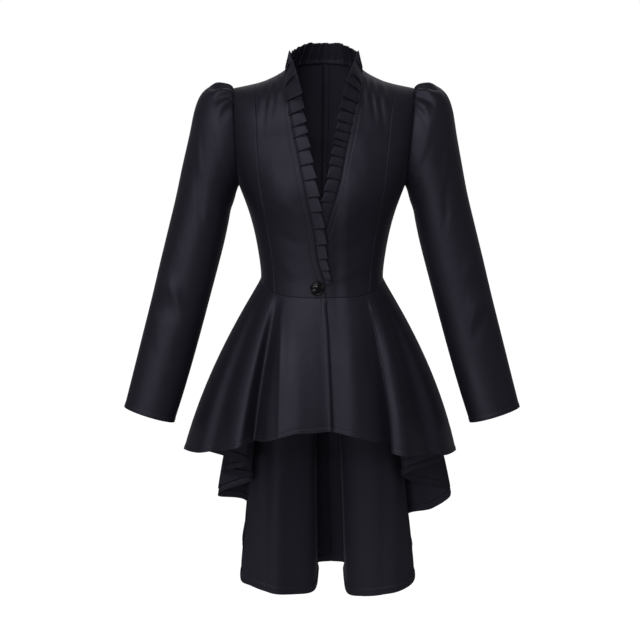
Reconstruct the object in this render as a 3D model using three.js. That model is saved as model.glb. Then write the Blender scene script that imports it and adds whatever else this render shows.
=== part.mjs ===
import * as THREE from 'three';

// A woman's tailcoat in black satin, in the hollow shape it takes when it is worn.
// Millimetres. +Z is up, +X is the wearer's left, the front faces -Y.
// The origin lies between the two points where the shoulder seams meet the collar.

// Cloth
const SHELL_CLOTH = 1.6;
const RUFFLE_CLOTH = 1.2;
const SEAM_INSET = 0.2;
const RUFFLE_CLEAR = 0.5;

// Shoulders and armholes
const CHEST_TOP = -120;
const BELOW_CHEST_SCALE = 130;
const SHOULDER = { x: 171, z: -33 };
const UNDERARM = { x: 157.5, z: -216 };
const ARMHOLE_HALF_DEPTH = 58;
const NECK_POINT_X = 73;
const SHOULDER_PRINCESS_X = 131;
// The shoulders sit a little to the wearer's left of the waist: the shift grows between two heights
const NECK_SHIFT = { across: 3.5, from: -230, to: -30 };

// Bust and front overlap
const BUST = { x: 78, z: -232, spread: 42, lift: 9 };
const UNDERLAP = { depth: 3.8, from: 50, over: 26 };

// Rows of every bodice panel: waist to underarm, underarm to chest top, chest top to shoulder
const ROWS_TO_UNDERARM = 6;
const ROWS_TO_CHEST = 4;
const ROWS_TO_SHOULDER = 6;
const BODICE_ROWS = ROWS_TO_UNDERARM + ROWS_TO_CHEST + ROWS_TO_SHOULDER;
const PANEL_COLUMNS = { front: 15, side_front: 5, side_back: 5, back: 9 };

// Heights where the seam tables start, and where the front edge and the other seams pass the underarm
const SEAM_FOOT = -425;
const FRONT_EDGE_UNDERARM = -230;
const SEAM_UNDERARM = -225;

// Gathers in the front shoulders
const GATHERS = { count: 5, depth: 2.6, fadeFrom: -20, fadeTo: -105 };

// Skirt
const SKIRT_ROWS = 7;
const SKIRT_ROW_SPACING = 1.15;
const HEM_STEPS = 3;
const FLARE_BOW = { right: 0.4, left: 0.5 };

// Button
const BUTTON = { x: -9.4, z: -405.8, radius: 13, thickness: 4.2, shank: 2.2, shankRadius: 4, clear: 1.25, facets: 20 };
// Outline of its moulding from the edge of the back to the middle of the face: shares of radius and thickness
const BUTTON_OUTLINE = [
  { out: 0.75, up: 0 }, { out: 1, up: 0.25 }, { out: 1, up: 0.65 }, { out: 0.9, up: 0.9 }, { out: 0.78, up: 0.78 },
  { out: 0.45, up: 1 }, { out: 0, up: 1.1 },
];

const SATIN = { color: 0x1c1b24, roughness: 0.42, metalness: 0 };
const GLOSS = { color: 0x0c0c10, roughness: 0.15, metalness: 0 };

// Level sections of the body of the coat
const BODY = [
  { z: -430, half: 118, front: 90, back: 82, power: 2.15 },
  { z: -400, half: 117, front: 88, back: 78, power: 2.15 },
  { z: -378, half: 117, front: 90, back: 76, power: 2.15 },
  { z: -340, half: 122, front: 96, back: 77, power: 2.2 },
  { z: -301, half: 129.5, front: 105, back: 81, power: 2.2 },
  { z: -263, half: 140, front: 114, back: 88, power: 2.3 },
  { z: -216, half: 157.5, front: 118, back: 97, power: 2.35 },
  { z: -170, half: 176, front: 113, back: 102, power: 2.45 },
  { z: CHEST_TOP, half: 186, front: 104, back: 100, power: 2.6 },
  { z: 100, half: 186, front: 104, back: 100, power: 2.6 },
];

// Height at which front and back meet, from the centre out along the shoulder
const RIDGE = [
  { x: 0, z: 87 }, { x: 30, z: 70 }, { x: 50, z: 42 }, { x: 65, z: 16 }, { x: NECK_POINT_X, z: 2 },
  { x: 107, z: -17 }, { x: 133, z: -25 }, { x: SHOULDER.x, z: SHOULDER.z }, { x: 190, z: -37 },
];

// Back neckline
const BACK_NECK = [{ x: 0, z: 19 }, { x: 40, z: 16 }, { x: 60, z: 10 }, { x: NECK_POINT_X, z: 2 }];

// Waist seam: height against the angle from the centre front
const WAIST = [
  { angle: 0, z: -424 }, { angle: 20, z: -423.5 }, { angle: 40, z: -420 }, { angle: 60, z: -411 },
  { angle: 75, z: -401 }, { angle: 90, z: -392 }, { angle: 120, z: -386 }, { angle: 150, z: -388 },
  { angle: 180, z: -390 },
];

// Neckline edges of the two fronts, x measured towards the panel's own side
const RIGHT_EDGE = [
  { z: -425, x: -6.3 }, { z: -395, x: -4 }, { z: -378, x: 1 }, { z: -355, x: 8.5 }, { z: -305, x: 15 },
  { z: -256, x: 25 }, { z: -207, x: 35.5 }, { z: -125, x: 54 }, { z: -59, x: 68 }, { z: 2, x: NECK_POINT_X },
];
const LEFT_EDGE = [
  { z: -425, x: -24 }, { z: -380, x: -16 }, { z: -330, x: -4 }, { z: -283, x: 12.7 }, { z: -242, x: 24.5 },
  { z: -207, x: 33.8 }, { z: -158, x: 42.5 }, { z: -112, x: 51.4 }, { z: -59, x: 64.3 }, { z: 2, x: NECK_POINT_X },
];

// Princess seams of front and back
const FRONT_PRINCESS = [
  { z: -425, x: 88 }, { z: -355, x: 93 }, { z: -305, x: 100.5 }, { z: -259, x: 108 }, { z: -213, x: 115.5 },
  { z: -145, x: 121 }, { z: -90, x: 125 }, { z: -25, x: SHOULDER_PRINCESS_X },
];
const BACK_PRINCESS = [
  { z: -425, x: 52 }, { z: -340, x: 58 }, { z: -260, x: 78 }, { z: -180, x: 100 }, { z: -90, x: 120 },
  { z: -25, x: SHOULDER_PRINCESS_X },
];

// Sleeve rings: outermost and innermost point of each, half its depth and how far it swings forward
const SLEEVE_RINGS = [
  { outX: 171, outZ: -33, inX: 157.5, inZ: -216, half: 58, y: 0, gather: 0 },
  { outX: 176.9, outZ: -29, inX: 158.6, inZ: -217.5, half: 60.5, y: 0, gather: 0.9 },
  { outX: 188.7, outZ: -26.5, inX: 160, inZ: -220, half: 63, y: 0, gather: 1 },
  { outX: 204.5, outZ: -27, inX: 161.5, inZ: -224, half: 65, y: 0, gather: 0.9 },
  { outX: 221.2, outZ: -34, inX: 163.5, inZ: -230, half: 66, y: 0, gather: 0.6 },
  { outX: 235, outZ: -49, inX: 165.5, inZ: -238, half: 65, y: 0, gather: 0.3 },
  { outX: 244.9, outZ: -76, inX: 168.5, inZ: -248, half: 63, y: -1, gather: 0.1 },
  { outX: 253.7, outZ: -122, inX: 174, inZ: -264, half: 60, y: -2, gather: 0 },
  { outX: 264.6, outZ: -174, inX: 178.9, inZ: -290, half: 57, y: -3, gather: 0 },
  { outX: 277.4, outZ: -236, inX: 186.8, inZ: -326, half: 54, y: -5, gather: 0 },
  { outX: 293.1, outZ: -300, inX: 198.6, inZ: -372, half: 51, y: -8, gather: 0 },
  { outX: 307.9, outZ: -360, inX: 211.4, inZ: -420, half: 48, y: -12, gather: 0 },
  { outX: 324.7, outZ: -430, inX: 227.1, inZ: -479, half: 45, y: -17, gather: 0 },
  { outX: 342.4, outZ: -500, inX: 243.9, inZ: -540, half: 42, y: -23, gather: 0 },
  { outX: 360.1, outZ: -570, inX: 262.6, inZ: -604, half: 39, y: -29, gather: 0 },
  { outX: 376.9, outZ: -636, inX: 282.3, inZ: -666, half: 37, y: -35, gather: 0 },
];
const SLEEVE_GATHERS = { spread: 60, folds: 4, depth: 2.4 };
const SLEEVE_COLUMNS = { gathered: 16, plain: 14 };

// Hems of the two halves of the skirt, from the front edge round to the centre back seam.
// The angle says from where on the waist each fold hangs; x is towards the half's own side.
const SIDE_SEAM_ANGLE = 88;
const RIGHT_HEM = [
  { fold: 'front edge', angle: -3.3, x: -19.4, y: -150, z: -664 },
  { fold: 'flat front', angle: 6, x: 13, y: -158, z: -667 },
  { fold: 'flat front', angle: 16, x: 48, y: -162, z: -668 },
  { fold: 'low ridge', angle: 25, x: 79, y: -162, z: -676 },
  { fold: 'flat front', angle: 34, x: 104, y: -150, z: -684 },
  { fold: 'deep valley', angle: 43, x: 127, y: -110, z: -689 },
  { fold: 'crest', angle: 50, x: 151, y: -140, z: -696 },
  { fold: 'crest', angle: 56, x: 173, y: -134, z: -702 },
  { fold: 'shallow valley', angle: 64, x: 203, y: -98, z: -711 },
  { fold: 'crest', angle: 72, x: 233, y: -84, z: -717 },
  { fold: 'outline', angle: 82, x: 265, y: -25, z: -720 },
  { fold: 'side seam', angle: SIDE_SEAM_ANGLE, x: 252, y: 22, z: -726 },
  { fold: 'first valley', angle: 98, x: 148, y: 42, z: -764 },
  { fold: 'second crest', angle: 108, x: 199, y: 72, z: -785 },
  { fold: 'second valley', angle: 117, x: 142, y: 108, z: -808 },
  { fold: 'third crest', angle: 125, x: 212, y: 126, z: -842 },
  { fold: 'third valley', angle: 132, x: 153, y: 164, z: -864 },
  { fold: 'tail edge', angle: 137, x: 160, y: 152, z: -949 },
  { fold: 'tail corner', angle: 142, x: 164, y: 160, z: -1027 },
  { fold: 'lobe', angle: 148, x: 142, y: 142, z: -1034 },
  { fold: 'lobe crest', angle: 156, x: 101, y: 120, z: -1043 },
  { fold: 'lobe', angle: 164, x: 58, y: 134, z: -1049 },
  { fold: 'lobe end', angle: 169, x: 19, y: 160, z: -1049 },
  { fold: 'back fold', angle: 173, x: 10, y: 198, z: -1026 },
  { fold: 'back fold', angle: 177, x: 12, y: 236, z: -1010 },
  { fold: 'centre back', angle: 180, x: -19.3, y: 255, z: -1010 },
];
const LEFT_HEM = [
  { fold: 'front edge', angle: -13, x: -26, y: -141, z: -665 },
  { fold: 'flat front', angle: 4, x: 20, y: -144, z: -667 },
  { fold: 'flat front', angle: 17, x: 55, y: -150, z: -675 },
  { fold: 'flat front', angle: 30, x: 94, y: -144, z: -685 },
  { fold: 'deep valley', angle: 42, x: 133, y: -119, z: -696 },
  { fold: 'crest', angle: 46, x: 130, y: -149, z: -706 },
  { fold: 'crest', angle: 53, x: 157, y: -152, z: -712 },
  { fold: 'shallow valley', angle: 63, x: 199, y: -97, z: -714 },
  { fold: 'crest', angle: 72, x: 230, y: -82, z: -722 },
  { fold: 'outline', angle: 82, x: 257, y: -25, z: -722 },
  { fold: 'side seam', angle: SIDE_SEAM_ANGLE, x: 246, y: 20, z: -732 },
  { fold: 'first valley', angle: 98, x: 161, y: 40, z: -770 },
  { fold: 'second crest', angle: 107, x: 242, y: 74, z: -758 },
  { fold: 'second valley', angle: 115, x: 163, y: 106, z: -801 },
  { fold: 'third crest', angle: 122, x: 261, y: 118, z: -836 },
  { fold: 'third face', angle: 127, x: 226, y: 142, z: -872 },
  { fold: 'third valley', angle: 132, x: 172, y: 174, z: -896 },
  { fold: 'tail edge', angle: 137, x: 182, y: 150, z: -960 },
  { fold: 'tail corner', angle: 142, x: 188, y: 156, z: -1023 },
  { fold: 'lobe', angle: 148, x: 165, y: 132, z: -1038 },
  { fold: 'lobe crest', angle: 156, x: 124, y: 120, z: -1046 },
  { fold: 'lobe', angle: 164, x: 82, y: 127, z: -1051 },
  { fold: 'lobe end', angle: 169, x: 55, y: 152, z: -1052 },
  { fold: 'back fold', angle: 173, x: 48, y: 198, z: -1026 },
  { fold: 'back fold', angle: 177, x: 51, y: 236, z: -1010 },
  { fold: 'centre back', angle: 180, x: 19.3, y: 255, z: -1010 },
];

// Pleated ruffle: width against the height of its seam, and how far it turns up towards the collar
const RUFFLE_WIDTH = [
  { z: -400, w: 13 }, { z: -385, w: 15 }, { z: -355, w: 19 }, { z: -305, w: 22 }, { z: -207, w: 26 },
  { z: -125, w: 28 }, { z: -60, w: 31 }, { z: 0, w: 34 }, { z: 20, w: 35 },
];
const RUFFLE_TURN = { from: -62, to: 2, lean: 0.38 };
const RUFFLE_LIE = { forward: -0.12, up: 0.18 };
const RUFFLE_SQUARED = 0.7;
// The pleats lose height below a full width, and a strip ends in a flat share of its length
const FULL_HEIGHT_WIDTH = 20;
const RUFFLES = {
  right: { bottom: -398, pleats: 15, depth: 5, flat: 0.06 },
  left: { bottom: -296, pleats: 15, depth: 3.6, flat: 0.06 },
  collar: { pleats: 13, depth: 4.5, flat: 0 },
};
// One knife pleat up the seam line: how high the cloth stands at each share of the pleat
const PLEAT_STEPS = [
  { q: 0, rise: 0 }, { q: 0.08, rise: 0.5 }, { q: 0.2, rise: 1 }, { q: 0.45, rise: 0.75 }, { q: 0.75, rise: 0.3 },
];
const PLEAT_ROOT_HEIGHT = 0.3;
const RUFFLE_ROWS = [0, 0.5, 1];
const NECK_STEPS = { front: 44, back: 10 };
// The front strips stop just short of the shoulder seam, in level
const SHOULDER_STOP = Math.PI / 2 - 0.018;

const radians = THREE.MathUtils.degToRad;
const lerp = THREE.MathUtils.lerp;
const smooth = THREE.MathUtils.smoothstep;

// Value of one column of a table, on a cubic through its rows with slopes from their neighbours
function column(table, from, name, at) {
  const last = table.length - 1;
  if (at <= table[0][from]) return table[0][name];
  if (at >= table[last][from]) return table[last][name];
  const i = table.findIndex((row) => row[from] > at) - 1;
  const slope = (k) => {
    const a = table[Math.max(0, k - 1)];
    const b = table[Math.min(last, k + 1)];
    return (b[name] - a[name]) / (b[from] - a[from]);
  };
  const span = table[i + 1][from] - table[i][from];
  const t = (at - table[i][from]) / span;
  const t2 = t * t;
  const t3 = t2 * t;
  return (2 * t3 - 3 * t2 + 1) * table[i][name] + (t3 - 2 * t2 + t) * span * slope(i)
    + (3 * t2 - 2 * t3) * table[i + 1][name] + (t3 - t2) * span * slope(i + 1);
}

const ridgeHeight = (x) => column(RIDGE, 'x', 'z', Math.abs(x));
const waistHeight = (angle) => column(WAIST, 'angle', 'z', Math.abs(angle));
const neckShift = (z) => NECK_SHIFT.across * smooth(z, NECK_SHIFT.from, NECK_SHIFT.to);

// Height of a body point from its level h: an arc over the shoulder above the chest, straight below
function heightAt(x, h) {
  return h < 0 ? CHEST_TOP + h * BELOW_CHEST_SCALE : CHEST_TOP + (ridgeHeight(x) - CHEST_TOP) * Math.sin(h);
}

function levelAt(x, z) {
  if (z < CHEST_TOP) return (z - CHEST_TOP) / BELOW_CHEST_SCALE;
  return Math.asin(Math.min(1, (z - CHEST_TOP) / (ridgeHeight(x) - CHEST_TOP)));
}

// Point of the body surface at an angle from the centre front and a level, for the side +1 or -1
function bodyPoint(side, angle, h) {
  const nearHeight = h < 0 ? CHEST_TOP + h * BELOW_CHEST_SCALE : CHEST_TOP;
  const power = column(BODY, 'z', 'power', nearHeight);
  const half = column(BODY, 'z', 'half', nearHeight);
  const sine = Math.sin(radians(angle));
  const cosine = Math.cos(radians(angle));
  const x = half * Math.sign(sine) * Math.abs(sine) ** (2 / power);
  const z = heightAt(x, h);
  const closing = h < 0 ? 1 : Math.cos(h);
  const depth = column(BODY, 'z', cosine > 0 ? 'front' : 'back', nearHeight);
  let y = -depth * closing * Math.sign(cosine) * Math.abs(cosine) ** (2 / power);
  if (cosine > 0) {
    const across = (x - BUST.x) / BUST.spread;
    const up = (z - BUST.z) / BUST.spread;
    y -= BUST.lift * cosine * Math.exp(-across * across - up * up);
  }
  if (side > 0 && cosine > 0) y += UNDERLAP.depth * smooth(UNDERLAP.from - x, 0, UNDERLAP.over);
  return new THREE.Vector3(side * x + neckShift(z), y, z);
}

// Angle at which the section at height z reaches x
function angleAt(x, z, back) {
  const at = Math.min(z, CHEST_TOP);
  const half = column(BODY, 'z', 'half', at);
  const power = column(BODY, 'z', 'power', at);
  const angle = THREE.MathUtils.radToDeg(Math.asin(Math.min(1, Math.abs(x) / half) ** (power / 2))) * Math.sign(x);
  return back ? 180 - angle : angle;
}

// Heights of the rows of a panel edge that starts at the waist and ends at a level on the shoulder
function edgeLevels(waist, underarm, topX, topZ) {
  const levels = [];
  for (let i = 0; i < ROWS_TO_UNDERARM; i += 1) {
    levels.push(levelAt(topX, lerp(waist, underarm, i / ROWS_TO_UNDERARM)));
  }
  for (let i = 0; i < ROWS_TO_CHEST; i += 1) {
    levels.push(levelAt(topX, lerp(underarm, CHEST_TOP, i / ROWS_TO_CHEST)));
  }
  const top = levelAt(topX, topZ);
  for (let i = 0; i <= ROWS_TO_SHOULDER; i += 1) levels.push((top * i) / ROWS_TO_SHOULDER);
  return levels;
}

// Edge of a panel along a seam that a table gives as x against height
function seamEdge(table, topX, topZ, waist, underarm, back) {
  return edgeLevels(waist, underarm, topX, topZ).map((h) => {
    const z = heightAt(topX, h);
    const x = column(table, 'z', 'x', z);
    return { angle: angleAt(x, z, back), h };
  });
}

// Point of the armhole, an oval from the shoulder point (turn 0) to the underarm (turn 180)
function armholePoint(turn, back) {
  const c = Math.cos(radians(turn));
  const s = Math.sin(radians(turn));
  return new THREE.Vector3(
    lerp(UNDERARM.x, SHOULDER.x, (1 + c) / 2),
    (back ? 1 : -1) * ARMHOLE_HALF_DEPTH * s,
    lerp(UNDERARM.z, SHOULDER.z, (1 + c) / 2),
  );
}

// Outer edge of the side panels: up the side seam, then round the armhole
function sideEdge(back) {
  const edge = [];
  for (let i = 0; i < ROWS_TO_UNDERARM; i += 1) {
    const z = lerp(waistHeight(90), UNDERARM.z, i / ROWS_TO_UNDERARM);
    edge.push({ angle: 90, h: levelAt(UNDERARM.x, z) });
  }
  const steps = ROWS_TO_CHEST + ROWS_TO_SHOULDER;
  for (let i = 0; i <= steps; i += 1) {
    const goal = armholePoint(180 * (1 - i / steps), back);
    edge.push({ angle: angleAt(goal.x, goal.z, back), h: levelAt(goal.x, goal.z), goal });
  }
  return edge;
}

// Grid of one bodice panel between two edges, rows from the waist up, bowed onto waist and top
function panelGrid(side, inner, outer, columns, topLevel) {
  const grid = [];
  for (let r = 0; r <= BODICE_ROWS; r += 1) {
    const rise = r / BODICE_ROWS;
    const nearTop = Math.max(0, (r - ROWS_TO_UNDERARM - ROWS_TO_CHEST) / ROWS_TO_SHOULDER);
    const row = [];
    for (let c = 0; c <= columns; c += 1) {
      const s = c / columns;
      const angle = lerp(inner[r].angle, outer[r].angle, s);
      let h = lerp(inner[r].h, outer[r].h, s);
      const waistAngle = lerp(inner[0].angle, outer[0].angle, s);
      const waistLevel = levelAt(0, waistHeight(waistAngle));
      h += (1 - rise) ** 2 * (waistLevel - lerp(inner[0].h, outer[0].h, s));
      const topAngle = lerp(inner[BODICE_ROWS].angle, outer[BODICE_ROWS].angle, s);
      const topX = Math.abs(bodyPoint(1, topAngle, 0).x - neckShift(CHEST_TOP));
      h += nearTop * (topLevel(topX) - lerp(inner[BODICE_ROWS].h, outer[BODICE_ROWS].h, s));
      const point = bodyPoint(side, angle, h);
      if (outer[r].goal) {
        const reached = bodyPoint(side, outer[r].angle, outer[r].h);
        point.y += (outer[r].goal.y - reached.y) * s * s;
      }
      row.push(point);
    }
    grid.push(row);
  }
  return grid;
}

// Sum of the face normals round each point of a set of grids, shared where their seams meet
function sharedNormals(grids, wrap) {
  const sums = new Map();
  const key = (p) => `${Math.round(p.x * 10)} ${Math.round(p.y * 10)} ${Math.round(p.z * 10)}`;
  for (const grid of grids) {
    const columns = grid[0].length;
    for (let r = 0; r + 1 < grid.length; r += 1) {
      for (let c = 0; c < (wrap ? columns : columns - 1); c += 1) {
        const next = (c + 1) % columns;
        const a = grid[r][c];
        const diagonal = grid[r + 1][next].clone().sub(a);
        const other = grid[r + 1][c].clone().sub(grid[r][next]);
        const face = diagonal.cross(other);
        for (const p of [a, grid[r][next], grid[r + 1][next], grid[r + 1][c]]) {
          if (!sums.has(key(p))) sums.set(key(p), new THREE.Vector3());
          sums.get(key(p)).add(face);
        }
      }
    }
  }
  return (p) => {
    const sum = sums.get(key(p)).clone();
    const onShoulderSeam = Math.abs(p.y) < 0.01 && p.z > SHOULDER.z - 1;
    return (onShoulderSeam ? sum.setY(0) : sum).normalize();
  };
}

// Pulls the four borders of a grid in, so that neighbouring pieces stay apart at their seams
function drawIn(grid, wrap) {
  const rows = grid.length;
  const columns = grid[0].length;
  const result = grid.map((row) => row.map((p) => p.clone()));
  const pull = (r, c, r2, c2) => {
    const step = grid[r2][c2].clone().sub(grid[r][c]).setLength(SEAM_INSET);
    result[r][c].add(step);
  };
  for (let c = 0; c < columns; c += 1) {
    pull(0, c, 1, c);
    pull(rows - 1, c, rows - 2, c);
  }
  if (!wrap) {
    for (let r = 0; r < rows; r += 1) {
      pull(r, 0, r, 1);
      pull(r, columns - 1, r, columns - 2);
    }
  }
  return result;
}

// Closed wall between an outer and an inner grid of the same size
function wallGeometry(outer, inner, wrap) {
  const rows = outer.length;
  const columns = outer[0].length;
  const positions = [];
  for (const grid of [outer, inner]) {
    for (const row of grid) for (const p of row) positions.push(p.x, p.y, p.z);
  }
  const at = (layer, r, c) => layer * rows * columns + r * columns + (c % columns);
  const faces = [];
  const quad = (a, b, c, d) => faces.push(a, b, c, a, c, d);
  const spans = wrap ? columns : columns - 1;
  for (let r = 0; r + 1 < rows; r += 1) {
    for (let c = 0; c < spans; c += 1) {
      const next = (c + 1) % columns;
      const rising = outer[r][c].distanceTo(outer[r + 1][next]);
      const falling = outer[r][next].distanceTo(outer[r + 1][c]);
      const o = [at(0, r, c), at(0, r, next), at(0, r + 1, next), at(0, r + 1, c)];
      const i = [at(1, r, c), at(1, r + 1, c), at(1, r + 1, next), at(1, r, next)];
      if (rising <= falling) {
        quad(...o);
        quad(...i);
      } else {
        quad(o[1], o[2], o[3], o[0]);
        quad(i[3], i[0], i[1], i[2]);
      }
    }
  }
  const top = rows - 1;
  for (let c = 0; c < spans; c += 1) {
    quad(at(0, 0, c + 1), at(0, 0, c), at(1, 0, c), at(1, 0, c + 1));
    quad(at(0, top, c), at(0, top, c + 1), at(1, top, c + 1), at(1, top, c));
  }
  if (!wrap) {
    const end = columns - 1;
    for (let r = 0; r < top; r += 1) {
      quad(at(0, r, 0), at(0, r + 1, 0), at(1, r + 1, 0), at(1, r, 0));
      quad(at(0, r, end), at(1, r, end), at(1, r + 1, end), at(0, r + 1, end));
    }
  }
  const geometry = new THREE.BufferGeometry();
  geometry.setAttribute('position', new THREE.Float32BufferAttribute(positions, 3));
  geometry.setIndex(signedVolume(positions, faces) < 0 ? faces.reverse() : faces);
  geometry.computeVertexNormals();
  return geometry;
}

function signedVolume(positions, faces) {
  const corner = (i) => new THREE.Vector3().fromArray(positions, 3 * i);
  let volume = 0;
  for (let f = 0; f < faces.length; f += 3) {
    volume += corner(faces[f]).dot(corner(faces[f + 1]).cross(corner(faces[f + 2])));
  }
  return volume / 6;
}

// Inner face of a wall: the outer points moved in along their normals, outwards being away from the hollow
function moved(grid, source, normal, distance) {
  return grid.map((row, r) => row.map((p, c) => p.clone().addScaledVector(normal(source[r][c]), distance)));
}

const coat = new THREE.Group();

function addPiece(name, geometry, finish) {
  const mesh = new THREE.Mesh(geometry, new THREE.MeshStandardMaterial(finish));
  mesh.name = name;
  coat.add(mesh);
}

// Folds of the gathered front shoulder, in the outer and inner face alike
function gathered(grid) {
  const top = grid.length - 1;
  const columns = grid[0].length - 1;
  return grid.map((row, r) => row.map((p, c) => {
    const fade = smooth(p.z, GATHERS.fadeTo, GATHERS.fadeFrom) * Math.min(1, (top - r) / 2);
    const wave = Math.sin((GATHERS.count * 2 * Math.PI * c) / columns);
    const lift = GATHERS.depth * fade * wave * Math.sin((Math.PI * c) / columns) ** 0.5;
    return p.clone().add(new THREE.Vector3(0, -0.8 * lift, 0.6 * lift));
  }));
}

// Bodice: front, side front, side back and back on each side
function bodicePanels(side, edgeTable) {
  const waistAt = (table, back) => waistHeight(angleAt(column(table, 'z', 'x', SEAM_FOOT), SEAM_FOOT, back));
  const princess = (table, back) => seamEdge(table, SHOULDER_PRINCESS_X, ridgeHeight(SHOULDER_PRINCESS_X),
    waistAt(table, back), SEAM_UNDERARM, back);
  const frontEdge = seamEdge(edgeTable, NECK_POINT_X, ridgeHeight(NECK_POINT_X), waistHeight(0),
    FRONT_EDGE_UNDERARM, false);
  const frontPrincess = princess(FRONT_PRINCESS, false);
  const backPrincess = princess(BACK_PRINCESS, true);
  const centreBack = edgeLevels(waistHeight(180), SEAM_UNDERARM, 0, BACK_NECK[0].z).map((h) => ({ angle: 180, h }));
  const neckLevel = (x) => (x < NECK_POINT_X ? levelAt(x, column(BACK_NECK, 'x', 'z', x)) : Math.PI / 2);
  const shoulder = () => Math.PI / 2;
  return {
    front: gathered(panelGrid(side, frontEdge, frontPrincess, PANEL_COLUMNS.front, shoulder)),
    side_front: panelGrid(side, frontPrincess, sideEdge(false), PANEL_COLUMNS.side_front, shoulder),
    side_back: panelGrid(side, backPrincess, sideEdge(true), PANEL_COLUMNS.side_back, shoulder),
    back: panelGrid(side, centreBack, backPrincess, PANEL_COLUMNS.back, neckLevel),
  };
}

const panels = {
  right: bodicePanels(-1, RIGHT_EDGE),
  left: bodicePanels(1, LEFT_EDGE),
};

// Their grids are wound so that the faces look away from the hollow
for (const [sideName, own] of Object.entries(panels)) {
  for (const name of Object.keys(own)) {
    const windsOut = name.includes('front') === (sideName === 'left');
    if (!windsOut) own[name] = own[name].map((row) => [...row].reverse());
  }
}

for (const [sideName, own] of Object.entries(panels)) {
  const otherBack = panels[sideName === 'right' ? 'left' : 'right'].back;
  const normal = sharedNormals([...Object.values(own), otherBack], false);
  for (const [name, grid] of Object.entries(own)) {
    const outer = drawIn(grid, false);
    addPiece(`${name}_${sideName}`, wallGeometry(outer, moved(outer, grid, normal, -SHELL_CLOTH), false), SATIN);
  }
}

// Sleeve: a tube through rings that start upright in the armhole and end square to the forearm
function sleeveGrid(side) {
  const { spread, folds, depth } = SLEEVE_GATHERS;
  const { gathered: inFolds, plain } = SLEEVE_COLUMNS;
  const turns = [];
  for (let i = 0; i < inFolds; i += 1) turns.push(spread * ((2 * i) / inFolds - 1));
  for (let i = 0; i < plain; i += 1) turns.push(spread + ((360 - 2 * spread) * i) / plain);
  return SLEEVE_RINGS.map((ring) => {
    const outside = new THREE.Vector3(ring.outX, ring.y, ring.outZ);
    const inside = new THREE.Vector3(ring.inX, ring.y, ring.inZ);
    const centre = outside.clone().add(inside).multiplyScalar(0.5);
    const radius = outside.sub(centre);
    return turns.map((turn) => {
      const c = Math.cos(radians(turn));
      const s = Math.sin(radians(turn));
      const near = Math.abs(turn) <= spread ? Math.cos(radians((turn * 90) / spread)) : 0;
      const lift = ring.gather * depth * near * Math.cos((Math.PI * folds * turn) / spread);
      const p = centre.clone().addScaledVector(radius, c);
      p.y -= (ring.half + lift) * s;
      p.z += lift * Math.max(0, c);
      p.x = side * (p.x + SEAM_INSET) + neckShift(p.z);
      return p;
    });
  });
}

for (const [sideName, side] of [['right', -1], ['left', 1]]) {
  let grid = sleeveGrid(side);
  if (side > 0) grid = grid.map((row) => [...row].reverse());
  const normal = sharedNormals([grid], true);
  const elbow = grid[SLEEVE_RINGS.length / 2][0];
  const outward = Math.sign(normal(elbow).x * side);
  const outer = drawIn(grid, true);
  addPiece(`sleeve_${sideName}`, wallGeometry(outer, moved(outer, grid, normal, -SHELL_CLOTH * outward), true), SATIN);
}

// Skirt: straight lines from the waist to the hem, bowed out like a bell
function skirtGrid(side, hem, bow) {
  const hemCurve = new THREE.CatmullRomCurve3(
    hem.map((row) => new THREE.Vector3(side * row.x, row.y, row.z)), false, 'centripetal',
  );
  const spans = hem.length - 1;
  const grid = [];
  for (let r = 0; r <= SKIRT_ROWS; r += 1) grid.push([]);
  for (let c = 0; c <= spans * HEM_STEPS; c += 1) {
    const u = c / HEM_STEPS;
    const i = Math.min(spans - 1, Math.floor(u));
    const angle = lerp(hem[i].angle, hem[i + 1].angle, u - i);
    const waist = bodyPoint(side, angle, levelAt(0, waistHeight(angle)));
    const end = hemCurve.getPoint(u / spans);
    for (let r = 0; r <= SKIRT_ROWS; r += 1) {
      const v = (r / SKIRT_ROWS) ** SKIRT_ROW_SPACING;
      const out = v * (1 + bow * (1 - v));
      grid[r].push(new THREE.Vector3(
        lerp(waist.x, end.x, out), lerp(waist.y, end.y, out), lerp(waist.z, end.z, v),
      ));
    }
  }
  const seam = hem.findIndex((row) => row.angle === SIDE_SEAM_ANGLE) * HEM_STEPS;
  const parts = [grid.map((row) => row.slice(0, seam + 1)), grid.map((row) => row.slice(seam))];
  return side > 0 ? parts.map((part) => part.map((row) => [...row].reverse())) : parts;
}

const skirtParts = {
  right: skirtGrid(-1, RIGHT_HEM, FLARE_BOW.right),
  left: skirtGrid(1, LEFT_HEM, FLARE_BOW.left),
};
const skirtNormal = sharedNormals([...skirtParts.right, ...skirtParts.left], false);
for (const [sideName, parts] of Object.entries(skirtParts)) {
  ['front_skirt', 'tail'].forEach((name, i) => {
    const outer = drawIn(parts[i], false);
    const inner = moved(outer, parts[i], skirtNormal, SHELL_CLOTH);
    addPiece(`${name}_${sideName}`, wallGeometry(outer, inner, false), SATIN);
  });
}

// Seam line of the front ruffle of one side, from its bottom end up to the shoulder
function frontNeckEdge(side, table, bottom) {
  const points = [];
  for (let i = 0; i <= NECK_STEPS.front; i += 1) {
    const h = lerp(levelAt(NECK_POINT_X, bottom), SHOULDER_STOP, i / NECK_STEPS.front);
    const z = heightAt(NECK_POINT_X, h);
    points.push(bodyPoint(side, angleAt(column(table, 'z', 'x', z), z, false), h));
  }
  return points;
}

// Back neckline of one side, from the shoulder to the centre
function backNeckEdge(side) {
  const points = [];
  for (let i = 0; i <= NECK_STEPS.back; i += 1) {
    const x = NECK_POINT_X * (1 - i / NECK_STEPS.back);
    const z = column(BACK_NECK, 'x', 'z', x);
    points.push(bodyPoint(side, angleAt(x, z, true), levelAt(x, z)));
  }
  return points;
}

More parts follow.
